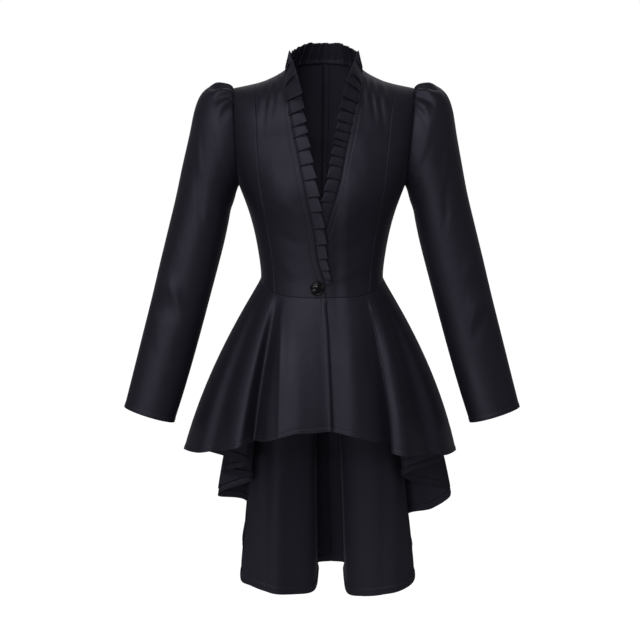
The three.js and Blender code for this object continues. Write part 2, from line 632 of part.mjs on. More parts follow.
// Knife-pleated strip on a base line: it leans from lying inwards at the front to standing at the neck
function ruffleGrid(base, side, { pleats, depth, flat }) {
  const curve = new THREE.CatmullRomCurve3(base, false, 'centripetal');
  curve.arcLengthDivisions = 400;
  const grid = RUFFLE_ROWS.map(() => []);
  const place = (u, rise) => {
    const p = curve.getPointAt(u);
    const along = curve.getTangentAt(u);
    const turned = side === 0 ? 1 : smooth(p.z, RUFFLE_TURN.from, RUFFLE_TURN.to);
    const towardsNeck = new THREE.Vector3(NECK_SHIFT.across - p.x, -p.y, 0).normalize();
    const lying = new THREE.Vector3(-side, RUFFLE_LIE.forward, RUFFLE_LIE.up);
    const standing = new THREE.Vector3(0, 0, 1)
      .addScaledVector(turned === 1 ? towardsNeck : new THREE.Vector3(-side, 0, 0), RUFFLE_TURN.lean);
    const reach = lying.lerp(standing, turned);
    reach.addScaledVector(along, -reach.dot(along) * (1 - turned) * RUFFLE_SQUARED).normalize();
    const out = new THREE.Vector3().crossVectors(along, reach).normalize();
    if (out.dot(new THREE.Vector3(0, -1, 0).lerp(towardsNeck.negate(), turned)) < 0) out.negate();
    const width = column(RUFFLE_WIDTH, 'z', 'w', p.z);
    const height = depth * rise * (flat ? smooth(u, 0, flat) : 1) * Math.min(1, width / FULL_HEIGHT_WIDTH);
    RUFFLE_ROWS.forEach((w, r) => {
      const lift = height * lerp(PLEAT_ROOT_HEIGHT, 1, w);
      grid[r].push(p.clone().addScaledVector(reach, RUFFLE_CLEAR + width * w).addScaledVector(out, lift));
    });
  };
  for (let k = 0; k < pleats; k += 1) for (const { q, rise } of PLEAT_STEPS) place((k + q) / pleats, rise);
  place(1, 0);
  return grid;
}

function addRuffle(name, grid, outwardsAt) {
  const normal = sharedNormals([grid], false);
  const middle = grid[1][Math.floor(grid[1].length / 2)];
  const facing = normal(middle).dot(outwardsAt(middle)) > 0 ? 1 : -1;
  const outer = drawIn(grid, false);
  addPiece(name, wallGeometry(outer, moved(outer, grid, normal, RUFFLE_CLOTH * facing), false), SATIN);
}

const towardsFront = () => new THREE.Vector3(0, -1, 0);
const awayFromNeck = (p) => p.clone().setZ(0);
addRuffle('ruffle_right', ruffleGrid(frontNeckEdge(-1, RIGHT_EDGE, RUFFLES.right.bottom), -1, RUFFLES.right),
  towardsFront);
addRuffle('ruffle_left', ruffleGrid(frontNeckEdge(1, LEFT_EDGE, RUFFLES.left.bottom), 1, RUFFLES.left),
  towardsFront);
addRuffle('ruffle_collar', ruffleGrid([...backNeckEdge(-1), ...backNeckEdge(1).slice(0, -1).reverse()], 0,
  RUFFLES.collar), awayFromNeck);

// Button: a domed disc with a raised rim on a short shank, square to the cloth under it
function addButton() {
  const { radius, thickness, shank, shankRadius } = BUTTON;
  const outline = BUTTON_OUTLINE.map(({ out, up }) => [out * radius, shank + up * thickness]);
  const profile = [[0, 0], [shankRadius, 0], [shankRadius, shank], ...outline].map(([x, y]) => new THREE.Vector2(x, y));
  const geometry = new THREE.LatheGeometry(profile, BUTTON.facets);
  const seat = bodyPoint(-1, angleAt(-BUTTON.x, BUTTON.z, false), levelAt(0, BUTTON.z));
  geometry.rotateX(Math.PI);
  geometry.translate(seat.x, seat.y - BUTTON.clear, seat.z);
  addPiece('button', geometry, GLOSS);
}

addButton();

export default coat;
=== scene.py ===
import math

import bpy
import numpy as np
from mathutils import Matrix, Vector


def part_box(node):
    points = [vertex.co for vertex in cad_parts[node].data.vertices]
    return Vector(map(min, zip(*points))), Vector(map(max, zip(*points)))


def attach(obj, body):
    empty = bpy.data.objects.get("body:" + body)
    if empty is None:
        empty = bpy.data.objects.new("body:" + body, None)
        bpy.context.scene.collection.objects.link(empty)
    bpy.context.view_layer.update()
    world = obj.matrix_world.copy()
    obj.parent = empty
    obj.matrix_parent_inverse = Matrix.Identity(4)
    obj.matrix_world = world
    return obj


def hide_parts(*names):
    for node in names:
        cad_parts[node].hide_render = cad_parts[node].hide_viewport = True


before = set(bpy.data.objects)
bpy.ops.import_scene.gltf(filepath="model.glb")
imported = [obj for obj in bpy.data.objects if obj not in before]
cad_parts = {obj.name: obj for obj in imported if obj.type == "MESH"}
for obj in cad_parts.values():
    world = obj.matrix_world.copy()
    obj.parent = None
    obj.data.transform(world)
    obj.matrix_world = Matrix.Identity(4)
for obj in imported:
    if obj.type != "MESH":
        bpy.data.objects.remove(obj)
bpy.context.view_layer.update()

# The studio: the coat is photographed from the front, from the height of its chest, before a white
# backdrop. A large soft light stands high at the picture's left with a low one below it, a weak one
# at the right, a strip behind, and two small ones in front and above that reach into the neck.
MM = 0.001
LENS = 93.75
CAMERA_PLACE = (-0.00384, -3.1825, -0.1395)
CAMERA_TILT = 84
FLOOR_HEIGHT, FLOOR_RADIUS, FLOOR_SIDES, FLOOR_GLOW = -1.45, 14, 96, 0.97
LIT_PLACE = (0, 0, -0.45)
LIGHTS = [
    ("key_light", (-1.5, -2.7, 1.3), (2.6, 2.4), 40),
    ("fill_light", (2.4, -1.9, 0.2), (1.6, 2.6), 2.5),
    ("low_light", (-1.3, -2.6, -1.2), (1.6, 0.8), 12),
    ("front_light", (-0.15, -3.1, 0.35), (0.3, 0.3), 6.5),
    ("top_light", (0.1, -1.5, 1.5), (0.8, 0.5), 6.5),
    ("rim_light", (0.3, 2.2, 1.6), (2.8, 1.2), 8),
]

camera = bpy.data.objects.new("camera", bpy.data.cameras.new("camera"))
camera.data.lens = LENS
camera.location = CAMERA_PLACE
camera.rotation_euler = (math.radians(CAMERA_TILT), 0, 0)
bpy.context.scene.collection.objects.link(camera)
bpy.context.scene.camera = camera

for name, place, size, power in LIGHTS:
    light = bpy.data.lights.new(name, "AREA")
    light.shape = "RECTANGLE"
    light.size, light.size_y = size
    light.energy = power
    lamp = bpy.data.objects.new(name, light)
    lamp.location = place
    lamp.rotation_euler = (Vector(LIT_PLACE) - lamp.location).to_track_quat("-Z", "Y").to_euler()
    bpy.context.scene.collection.objects.link(lamp)

# The backdrop shows white, but only a part of its light reaches the cloth
BACKDROP_WHITE, BACKDROP_GLOW = 1.0, 0.16
world = bpy.data.worlds.new("studio")
bpy.context.scene.world = world
world.use_nodes = True
seen = world.node_tree.nodes.new("ShaderNodeLightPath")
glow = world.node_tree.nodes.new("ShaderNodeMapRange")
glow.inputs["To Min"].default_value = BACKDROP_GLOW
glow.inputs["To Max"].default_value = BACKDROP_WHITE
world.node_tree.links.new(seen.outputs["Is Camera Ray"], glow.inputs["Value"])
world.node_tree.links.new(glow.outputs["Result"], world.node_tree.nodes["Background"].inputs["Strength"])
world.node_tree.nodes["Background"].inputs["Color"].default_value = (1, 1, 1, 1)
bpy.context.scene.view_settings.view_transform = "Standard"


def new_material(name, colour, roughness):
    """A Principled material and its shader node, with a plain colour and roughness to start from."""
    material = bpy.data.materials.new(name)
    material.use_nodes = True
    shader = material.node_tree.nodes["Principled BSDF"]
    shader.inputs["Base Color"].default_value = (*colour, 1)
    shader.inputs["Roughness"].default_value = roughness
    return material, shader


floor_paint, floor_shader = new_material("floor_paint", (0.3, 0.3, 0.3), 0.8)
floor_shader.inputs["Emission Color"].default_value = (1, 1, 1, 1)
floor_shader.inputs["Emission Strength"].default_value = FLOOR_GLOW
floor_mesh = bpy.data.meshes.new("floor")
turns = np.linspace(0, 2 * np.pi, FLOOR_SIDES, endpoint=False)
rim = np.c_[FLOOR_RADIUS * np.cos(turns), FLOOR_RADIUS * np.sin(turns), np.full(FLOOR_SIDES, FLOOR_HEIGHT)]
floor_mesh.from_pydata(rim.tolist(), [], [list(range(FLOOR_SIDES))])
floor_mesh.materials.append(floor_paint)
floor = bpy.data.objects.new("floor", floor_mesh)
bpy.context.scene.collection.objects.link(floor)
floor.visible_diffuse = False
floor.visible_glossy = False

# The satin: a black polyester satin with a blue cast. The finish comes from a fine twill weave that
# runs with the cloth, a soft unevenness of the sheen, and the small ripples that a press leaves.
SATIN_DARK = (0.0072, 0.0068, 0.0112, 1)
SATIN_LIGHT = (0.0112, 0.0104, 0.0180, 1)
SATIN_GLEAM = (0.82, 0.78, 1.0, 1)
WEAVE_PITCH = 0.0007
RIPPLE_SIZE = 0.035


def satin_material(name, dark, light, roughness, specular, sheen):
    """Satin whose colour and roughness drift with a noise on Object coordinates, and whose bump is a
    twill on the piece's own UV map, in metres, over a soft noise of the size of a press ripple."""
    material, shader = new_material(name, light[:3], roughness[0])
    nodes, links = material.node_tree.nodes, material.node_tree.links
    shader.inputs["Specular IOR Level"].default_value = specular
    shader.inputs["Specular Tint"].default_value = SATIN_GLEAM
    shader.inputs["Sheen Weight"].default_value = sheen
    shader.inputs["Sheen Roughness"].default_value = 0.35
    shader.inputs["Sheen Tint"].default_value = (0.75, 0.78, 1.0, 1)

    place = nodes.new("ShaderNodeTexCoord")
    drift = nodes.new("ShaderNodeTexNoise")
    drift.inputs["Scale"].default_value = 9
    drift.inputs["Detail"].default_value = 3
    links.new(place.outputs["Object"], drift.inputs["Vector"])
    tint = nodes.new("ShaderNodeMix")
    tint.data_type = "RGBA"
    tint.inputs["A"].default_value = dark
    tint.inputs["B"].default_value = light
    links.new(drift.outputs["Fac"], tint.inputs["Factor"])
    links.new(tint.outputs["Result"], shader.inputs["Base Color"])
    gloss = nodes.new("ShaderNodeMapRange")
    gloss.inputs["From Min"].default_value = 0.3
    gloss.inputs["From Max"].default_value = 0.7
    gloss.inputs["To Min"].default_value = roughness[0]
    gloss.inputs["To Max"].default_value = roughness[1]
    links.new(drift.outputs["Fac"], gloss.inputs["Value"])
    links.new(gloss.outputs["Result"], shader.inputs["Roughness"])

    weave_place = nodes.new("ShaderNodeUVMap")
    weave_place.uv_map = "cloth"
    twill = nodes.new("ShaderNodeTexWave")
    twill.wave_type = "BANDS"
    twill.bands_direction = "DIAGONAL"
    twill.inputs["Scale"].default_value = 1 / (20 * WEAVE_PITCH)
    twill.inputs["Distortion"].default_value = 1.2
    twill.inputs["Detail"].default_value = 1
    links.new(weave_place.outputs["UV"], twill.inputs["Vector"])
    ripple = nodes.new("ShaderNodeTexNoise")
    ripple.inputs["Scale"].default_value = 1 / RIPPLE_SIZE
    ripple.inputs["Detail"].default_value = 2
    links.new(place.outputs["Object"], ripple.inputs["Vector"])
    weave_bump = nodes.new("ShaderNodeBump")
    weave_bump.inputs["Strength"].default_value = 0.25
    weave_bump.inputs["Distance"].default_value = 0.00006
    links.new(twill.outputs["Fac"], weave_bump.inputs["Height"])
    ripple_bump = nodes.new("ShaderNodeBump")
    ripple_bump.inputs["Strength"].default_value = 0.5
    ripple_bump.inputs["Distance"].default_value = 0.002
    links.new(ripple.outputs["Fac"], ripple_bump.inputs["Height"])
    links.new(weave_bump.outputs["Normal"], ripple_bump.inputs["Normal"])
    links.new(ripple_bump.outputs["Normal"], shader.inputs["Normal"])
    return material


satin = satin_material("black_satin", SATIN_DARK, SATIN_LIGHT, roughness=(0.46, 0.58), specular=0.36,
                       sheen=0.08)
# The wrong side of the satin is duller and a little greyer, and shows inside the neck and on the tail. Its
# colour is also made lighter than the cloth's own: painted light that stands in for the light reaching into
# the neck and onto the tail
REVERSE_DARK_WITH_PAINTED_LIGHT = (0.0170, 0.0160, 0.0245, 1)
REVERSE_LIGHT_WITH_PAINTED_LIGHT = (0.0238, 0.0223, 0.0338, 1)
satin_reverse_and_painted_light = satin_material("black_satin_reverse_and_painted_light", REVERSE_DARK_WITH_PAINTED_LIGHT, REVERSE_LIGHT_WITH_PAINTED_LIGHT, roughness=(0.58, 0.7),
                               specular=0.3, sheen=0.12)
thread, thread_shader = new_material("black_thread", (0.02, 0.019, 0.028), 0.42)
thread_shader.inputs["Sheen Weight"].default_value = 0.2
twist_place = thread.node_tree.nodes.new("ShaderNodeTexCoord")
twist = thread.node_tree.nodes.new("ShaderNodeTexNoise")
twist.inputs["Scale"].default_value = 2500
twist_bump = thread.node_tree.nodes.new("ShaderNodeBump")
twist_bump.inputs["Strength"].default_value = 0.4
twist_bump.inputs["Distance"].default_value = 0.0001
thread.node_tree.links.new(twist_place.outputs["Object"], twist.inputs["Vector"])
thread.node_tree.links.new(twist.outputs["Fac"], twist_bump.inputs["Height"])
thread.node_tree.links.new(twist_bump.outputs["Normal"], thread_shader.inputs["Normal"])

# Bodice: two fronts, two side fronts, two side backs and two backs of satin, cut to a general figure
# and joined by princess seams pressed open. The fronts are gathered where they meet the shoulder.
CLOTH = 1.2
CHEST_TOP = -120
BELOW_CHEST_SCALE = 130
SHOULDER = (171, -33)
UNDERARM = (157.5, -216)
ARMHOLE_HALF_DEPTH = 58
NECK_POINT, NECK_POINT_HEIGHT = 73, 2
SHOULDER_PRINCESS = 131
# Heights at which the princess seams start, and at which a seam and a front edge pass the underarm
SEAM_FOOT, SEAM_UNDERARM, EDGE_UNDERARM = -425, -225, -230
# The neck sits a little to the wearer's left: how far, and the heights between which it moves over
NECK_SHIFT, SHIFT_FROM, SHIFT_TO = 3.5, -230, -30
BUST_X, BUST_Z, BUST_SPREAD, BUST_LIFT = 78, -232, 42, 9
# The left front sinks behind the right one: how deep, from what distance out, and over what width
UNDERLAP_DEPTH, UNDERLAP_FROM, UNDERLAP_OVER = 3.8, 50, 26
SEAM_WIDTH, SEAM_DEPTH, SEAM_GAP = 1.2, 0.36, 0.3
# Distance of the stitches from the front edges, and the depth and width of the groove that they pull
EDGE_STITCH, EDGE_GROOVE, GROOVE_WIDTH = 9, 0.5, 1.1
# The centre back's allowance: its width, how thick its cloth is, and how far it stays off the wall
ALLOWANCE, ALLOWANCE_CLOTH, ALLOWANCE_CLEAR = 11, 0.4, 0.15
BODICE_ROWS, ROWS_BELOW_ARM, ROWS_BELOW_CHEST = 16, 6, 10

# Level sections: height, half width, depth in front, depth behind, roundness
BODY = [
    (-430, 118, 90, 82, 2.15), (-400, 117, 88, 78, 2.15), (-378, 117, 90, 76, 2.15),
    (-340, 122, 96, 77, 2.2), (-301, 129.5, 105, 81, 2.2), (-263, 140, 114, 88, 2.3),
    (-216, 157.5, 118, 97, 2.35), (-170, 176, 113, 102, 2.45), (-120, 186, 104, 100, 2.6),
    (100, 186, 104, 100, 2.6),
]
# Line where front and back meet over the shoulder, and the back neckline: distance out, height
RIDGE = [(0, 87), (30, 70), (50, 42), (65, 16), (73, 2), (107, -17), (133, -25), (171, -33), (190, -37)]
BACK_NECK = [(0, 19), (40, 16), (60, 10), (73, 2)]
# Waist seam: degrees from the centre front, height
WAIST = [(0, -424), (20, -423.5), (40, -420), (60, -411), (75, -401), (90, -392), (120, -386),
         (150, -388), (180, -390)]
# Front edges and princess seams: height, distance out
FRONT_EDGE = {
    "right": [(-425, -6.3), (-395, -4), (-378, 1), (-355, 8.5), (-305, 15), (-256, 25), (-207, 35.5),
              (-125, 54), (-59, 68), (2, 73)],
    "left": [(-425, -24), (-380, -16), (-330, -4), (-283, 12.7), (-242, 24.5), (-207, 33.8),
             (-158, 42.5), (-112, 51.4), (-59, 64.3), (2, 73)],
}
FRONT_PRINCESS = [(-425, 88), (-355, 93), (-305, 100.5), (-259, 108), (-213, 115.5), (-145, 121),
                  (-90, 125), (-25, 131)]
BACK_PRINCESS = [(-425, 52), (-340, 58), (-260, 78), (-180, 100), (-90, 120), (-25, 131)]


def column(table, at, which=1):
    """Value of one column of a table at `at` in its first: a cubic between rows, its slope at each row
    that of the chord between the rows on either side."""
    rows = np.array(table, float)
    x, y = rows[:, 0], rows[:, which]
    last = len(x) - 1
    before = np.maximum(np.arange(last + 1) - 1, 0)
    after = np.minimum(np.arange(last + 1) + 1, last)
    slope = (y[after] - y[before]) / (x[after] - x[before])
    at = np.clip(at, x[0], x[-1])
    i = np.clip(np.searchsorted(x, at, side="right") - 1, 0, last - 1)
    span = x[i + 1] - x[i]
    t = (at - x[i]) / span
    return ((2 * t**3 - 3 * t**2 + 1) * y[i] + (t**3 - 2 * t**2 + t) * span * slope[i]
            + (3 * t**2 - 2 * t**3) * y[i + 1] + (t**3 - t**2) * span * slope[i + 1])


def ease(x, start, end):
    """0 up to start, 1 from end on, and 3t² - 2t³ between them."""
    t = np.clip((x - start) / (end - start), 0, 1)
    return t * t * (3 - 2 * t)


def blend(a, b, t):
    """Straight line from a at t = 0 to b at t = 1."""
    return a + (b - a) * t


def bell(away, width):
    """exp(-(away / width)²): 1 on a line, fading to both sides of it."""
    return np.exp(-((away / width) ** 2))


def neck_shift(z):
    """Distance by which a height is moved to the wearer's left."""
    return NECK_SHIFT * ease(z, SHIFT_FROM, SHIFT_TO)


def height_at(x, level):
    """Height of a level: straight down below the chest, a sine over the shoulder above it."""
    rise = column(RIDGE, np.abs(x)) - CHEST_TOP
    return np.where(level < 0, CHEST_TOP + level * BELOW_CHEST_SCALE, CHEST_TOP + rise * np.sin(level))


def level_at(x, z):
    """Level of a height, the inverse of height_at."""
    rise = column(RIDGE, np.abs(x)) - CHEST_TOP
    over = np.arcsin(np.clip((z - CHEST_TOP) / rise, 0, 1))
    return np.where(z < CHEST_TOP, (z - CHEST_TOP) / BELOW_CHEST_SCALE, over)


def body_surface(side, angle, level):
    """Point of the body: at each height a superellipse |x/half|^p + |y/depth|^p = 1, drawn in towards
    the shoulder line by the cosine of the level, with a rounded swell at the bust."""
    near = np.where(level < 0, CHEST_TOP + level * BELOW_CHEST_SCALE, CHEST_TOP)
    power = column(BODY, near, 4)
    sine, cosine = np.sin(np.radians(angle)), np.cos(np.radians(angle))
    x = column(BODY, near, 1) * np.sign(sine) * np.abs(sine) ** (2 / power)
    z = height_at(x, level)
    depth = np.where(cosine > 0, column(BODY, near, 2), column(BODY, near, 3))
    closing = np.where(level < 0, 1, np.cos(level))
    y = -depth * closing * np.sign(cosine) * np.abs(cosine) ** (2 / power)
    swell = np.exp(-((x - BUST_X) / BUST_SPREAD) ** 2 - ((z - BUST_Z) / BUST_SPREAD) ** 2)
    y -= BUST_LIFT * np.maximum(cosine, 0) * swell
    if side > 0:
        y += np.where(cosine > 0, UNDERLAP_DEPTH * ease(UNDERLAP_FROM - x, 0, UNDERLAP_OVER), 0)
    return np.stack([side * x + neck_shift(z), y, z], -1)


def angle_at(x, z, back):
    """Degrees from the centre front at which the section at height z reaches x."""
    near = np.minimum(z, CHEST_TOP)
    share = np.minimum(1, np.abs(x) / column(BODY, near, 1))
    angle = np.degrees(np.arcsin(share ** (column(BODY, near, 4) / 2))) * np.sign(x)
    return 180 - angle if back else angle


def edge_levels(v, waist, underarm, top_x, top_z):
    """Levels up a panel's edge, v from 0 at the waist to BODICE_ROWS at the shoulder."""
    past_arm = (v - ROWS_BELOW_ARM) / (ROWS_BELOW_CHEST - ROWS_BELOW_ARM)
    below = level_at(top_x, blend(waist, underarm, v / ROWS_BELOW_ARM))
    arm = level_at(top_x, blend(underarm, CHEST_TOP, past_arm))
    over = level_at(top_x, np.float64(top_z)) * (v - ROWS_BELOW_CHEST) / (BODICE_ROWS - ROWS_BELOW_CHEST)
    return np.where(v < ROWS_BELOW_ARM, below, np.where(v < ROWS_BELOW_CHEST, arm, over))


def seam_edge(table, v, top_x, top_z, waist, underarm, back):
    """Angle and level up a seam whose distance out is given against height."""
    level = edge_levels(v, waist, underarm, top_x, top_z)
    z = height_at(top_x, level)
    return angle_at(column(table, z), z, back), level


def side_edge(v, back):
    """Angle, level and depth up the side seam and round the armhole, an oval from shoulder to underarm,
    and whether the armhole has begun."""
    turn = np.radians(180 * (1 - np.clip((v - ROWS_BELOW_ARM) / (BODICE_ROWS - ROWS_BELOW_ARM), 0, 1)))
    x = blend(UNDERARM[0], SHOULDER[0], (1 + np.cos(turn)) / 2)
    z = blend(UNDERARM[1], SHOULDER[1], (1 + np.cos(turn)) / 2)
    y = (1 if back else -1) * ARMHOLE_HALF_DEPTH * np.sin(turn)
    seam_z = blend(column(WAIST, 90), UNDERARM[1], v / ROWS_BELOW_ARM)
    below = v < ROWS_BELOW_ARM
    angle = np.where(below, 90, angle_at(x, z, back))
    level = np.where(below, level_at(UNDERARM[0], seam_z), level_at(x, z))
    return angle, level, y, ~below


def bodice_panel(side, inner, outer, v, s, top_z):
    """Grid of a panel: angle and level go straight across from one edge to the other, bent so that the
    bottom follows the waist seam and the top the shoulder or neckline. Towards an outer edge that gives
    a depth too, the panel bends to the armhole's oval."""
    v, s = v[:, None], s[None, :]
    (inner_angle, inner_level), (outer_angle, outer_level) = inner[:2], outer[:2]
    angle = blend(inner_angle[:, None], outer_angle[:, None], s)
    level = blend(inner_level[:, None], outer_level[:, None], s)
    foot = angle[:1]
    level = level + (1 - v / BODICE_ROWS) ** 2 * (level_at(0, column(WAIST, np.abs(foot))) - level[:1])
    share_out = np.abs(np.sin(np.radians(angle[-1:]))) ** (2 / column(BODY, CHEST_TOP, 4))
    top_x = column(BODY, CHEST_TOP, 1) * share_out
    near_top = np.clip((v - ROWS_BELOW_CHEST) / (BODICE_ROWS - ROWS_BELOW_CHEST), 0, 1)
    level = level + near_top * (level_at(top_x, top_z(top_x)) - level[-1:])
    points = body_surface(side, angle, level)
    if len(outer) > 2:
        reached = body_surface(side, outer_angle, outer_level)[:, 1]
        miss = np.where(outer[3], outer[2] - reached, 0)
        points[..., 1] += miss[:, None] * s**2
    return points


def shoulder_top(x):
    """Height of the shoulder line, where a panel ends above."""
    return column(RIDGE, x)


def neck_top(x):
    """Height of the top of the back: the neckline, then the shoulder line."""
    return np.where(x < NECK_POINT, column(BACK_NECK, x), column(RIDGE, x))


def outward(points, away, rows=slice(None)):
    """Unit normals of a grid, turned so that over the given rows they point along `away`."""
    normal = np.cross(np.gradient(points, axis=1), np.gradient(points, axis=0))
    normal /= np.linalg.norm(normal, axis=-1, keepdims=True) + 1e-9
    return normal * np.sign(np.sum(normal[rows] * away))


def run_length(points, axis):
    """Distance along the rows or columns of a grid from their first point."""
    step = np.linalg.norm(np.diff(points, axis=axis), axis=-1)
    start = np.zeros_like(step[:1] if axis == 0 else step[:, :1])
    return np.concatenate([start, np.cumsum(step, axis=axis)], axis=axis)


def border_dip(points, sides):
    """Depth to which the cloth turns down into a seam: a bell of SEAM_WIDTH along the named borders."""
    across, up = run_length(points, 1), run_length(points, 0)
    away = {"start": across, "end": across[:, -1:] - across, "bottom": up, "top": up[-1:] - up}
    return sum(-SEAM_DEPTH * bell(away[name], SEAM_WIDTH) for name in sides)


def unit(vectors):
    """Vectors of length 1 in the same directions."""
    return vectors / np.linalg.norm(vectors, axis=-1, keepdims=True)


def folds(table, x, z):
    """Lift of soft folds: each row is a line from (x0, z0) to (x1, z1) with a width and a
    depth, and gives depth * exp(-(distance / width)²), fading out towards both ends of the line."""
    lift = np.zeros_like(x)
    for x0, z0, x1, z1, width, depth in table:
        run_x, run_z = x1 - x0, z1 - z0
        length = math.hypot(run_x, run_z)
        t = ((x - x0) * run_x + (z - z0) * run_z) / length**2
        away = ((x - x0) * run_z - (z - z0) * run_x) / length
        lift += depth * bell(away, width) * ease(t, -0.05, 0.35) * ease(1 - t, -0.05, 0.35)
    return lift


def cloth_piece(name, points, normal, nodes, reverse=satin_reverse_and_painted_light, closed=False,
                thickness=CLOTH, crisp_top=False):
    """A thin shell on a grid of points in millimetres: its faces look along the normals, the wall lies
    behind them, and its UV map is the distance along rows and columns in metres. A crisp top is a
    first row that doesn't shade round into the wall's rim."""
    rows, columns = points.shape[:2]
    index = np.arange(rows * columns).reshape(rows, columns)
    if closed:
        index = np.concatenate([index, index[:, :1]], axis=1)
    corners = np.stack([index[:-1, :-1], index[:-1, 1:], index[1:, 1:], index[1:, :-1]], -1).reshape(-1, 4)
    facing = np.cross(points[1, 2] - points[0, 1], points[1, 1] - points[0, 2])
    flip = np.sum(facing * normal[0, 1]) < 0
    if flip:
        corners = corners[:, ::-1]
    mesh = bpy.data.meshes.new(name)
    mesh.from_pydata((points.reshape(-1, 3) * MM).tolist(), [], corners.tolist())
    ring = points if not closed else np.concatenate([points, points[:, :1]], axis=1)
    across, up = run_length(ring, 1) * MM, run_length(ring, 0) * MM
    uv = np.stack([across, up], -1)
    patch = np.stack([uv[:-1, :-1], uv[:-1, 1:], uv[1:, 1:], uv[1:, :-1]], -2).reshape(-1, 4, 2)
    if flip:
        patch = patch[:, ::-1]
    layer = mesh.uv_layers.new(name="cloth")
    layer.data.foreach_set("uv", patch.ravel())
    mesh.polygons.foreach_set("use_smooth", np.ones(len(mesh.polygons), bool))
    if crisp_top:
        ends = np.empty(2 * len(mesh.edges), np.int32)
        mesh.edges.foreach_get("vertices", ends)
        on_top = np.all(ends.reshape(-1, 2) < columns, axis=1)
        mesh.attributes.new("sharp_edge", "BOOLEAN", "EDGE").data.foreach_set("value", on_top)
    mesh.materials.append(satin)
    mesh.materials.append(reverse)
    piece = bpy.data.objects.new(name, mesh)
    bpy.context.scene.collection.objects.link(piece)
    wall = piece.modifiers.new("cloth", "SOLIDIFY")
    wall.thickness = thickness * MM
    wall.offset = -1
    wall.use_even_offset = False
    wall.material_offset = 1
    wall.material_offset_rim = 0
    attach(piece, "root")
    if nodes:
        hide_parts(*nodes)
    return piece


STITCH_LENGTH, STITCH_GAP = 2.6, 0.9
# Thread of a stitch: width, height of its top over its middle, and height of the middle over the cloth
THREAD_WIDTH, THREAD_RISE, THREAD_PLACE = 0.7, 0.45, 0.2


def at_distance(grid, from_edge, distance, axis):
    """Line of a grid at a distance from one of its borders, found between the two neighbouring rows or
    columns on a straight line."""
    grid, gone = np.moveaxis(grid, axis, 0), np.moveaxis(from_edge, axis, 0)
    if gone[0].mean() > gone[-1].mean():
        grid, gone = grid[::-1], gone[::-1]
    after = np.clip(np.sum(gone < distance, axis=0), 1, len(gone) - 1)
    pick = np.arange(grid.shape[1])
    low, high = gone[after - 1, pick], gone[after, pick]
    share = ((distance - low) / (high - low))[:, None]
    return blend(grid[after - 1, pick], grid[after, pick], share)


def stitches(name, line, out):
    """Machine stitches on a line: equal lozenges along it, each with two ends, two sides, a top and a
    bottom, that lie on the cloth on the side given by `out`."""
    length = run_length(line[None], 1)[0]
    count = int(length[-1] / (STITCH_LENGTH + STITCH_GAP))
    place = (np.arange(count) + 0.5) / count * length[-1]
    at, ahead, behind = (np.stack([np.interp(place + step, length, line[:, k]) for k in range(3)], -1)
                         for step in (0, 1, -1))
    up = unit(np.stack([np.interp(place, length, out[:, k]) for k in range(3)], -1))
    along = unit(ahead - behind)
    side = np.cross(up, along)
    corner = [along * -STITCH_LENGTH / 2, along * STITCH_LENGTH / 2, side * -THREAD_WIDTH / 2,
              side * THREAD_WIDTH / 2, up * THREAD_RISE, up * -THREAD_RISE / 2]
    verts = at[:, None] + up[:, None] * THREAD_PLACE + np.stack(corner, 1)
    shape = np.array([(0, 2, 4), (2, 1, 4), (1, 3, 4), (3, 0, 4),
                      (2, 0, 5), (1, 2, 5), (3, 1, 5), (0, 3, 5)])
    faces = shape[None] + 6 * np.arange(count)[:, None, None]
    mesh = bpy.data.meshes.new(name)
    mesh.from_pydata((verts.reshape(-1, 3) * MM).tolist(), [], faces.reshape(-1, 3).tolist())
    mesh.polygons.foreach_set("use_smooth", np.ones(len(mesh.polygons), bool))
    mesh.materials.append(thread)
    row = bpy.data.objects.new(name, mesh)
    bpy.context.scene.collection.objects.link(row)
    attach(row, "root")


# Folds as lines from (x, z) to (x, z), with a width and a height: gathers first, then soft creases
FRONT_FOLDS = {
    "right": [
        (-116, -20, -125, -92, 6, -1.0), (-106, -14, -115, -74, 5.5, 1.2), (-97, -6, -112, -126, 5.6, -1.7),
        (-89, -3, -99, -82, 5, 1.5), (-82, 2, -97, -104, 5.2, -1.5), (-77, 4, -82, -60, 4.4, 1.2),
        (-71, 4, -74, -84, 4.6, -1.0),
        (-62, -120, -100, -200, 16, 1.4), (-30, -330, -95, -300, 14, -1.2), (-40, -390, -85, -350, 10, 0.9),
        (-55, -260, -100, -290, 18, -1.2),
    ],
    "left": [
        (122, -22, 129, -84, 6, -1.0), (112, -18, 118, -68, 5.6, 1.2), (101, -10, 116, -120, 5.6, -1.6),
        (93, -5, 101, -74, 5, 1.4), (86, -1, 100, -108, 5.2, -1.5), (80, 3, 86, -58, 4.4, 1.2),
        (74, 4, 79, -80, 4.6, -1.1),
        (62, -120, 96, -205, 15, 1.3), (28, -345, 95, -310, 14, -1.2), (30, -300, 80, -250, 12, 0.8),
        (20, -392, 84, -362, 10, 0.9),
    ],
}
BACK_FOLDS = [
    (20, -60, 95, -90, 16, 1.2), (-30, -75, -100, -110, 14, 1.1), (10, -345, 60, -330, 11, -1.2),
    (-14, -360, -64, -338, 10, -1.1), (70, -180, 110, -240, 18, 1.3), (-75, -170, -112, -232, 16, 1.2),
]


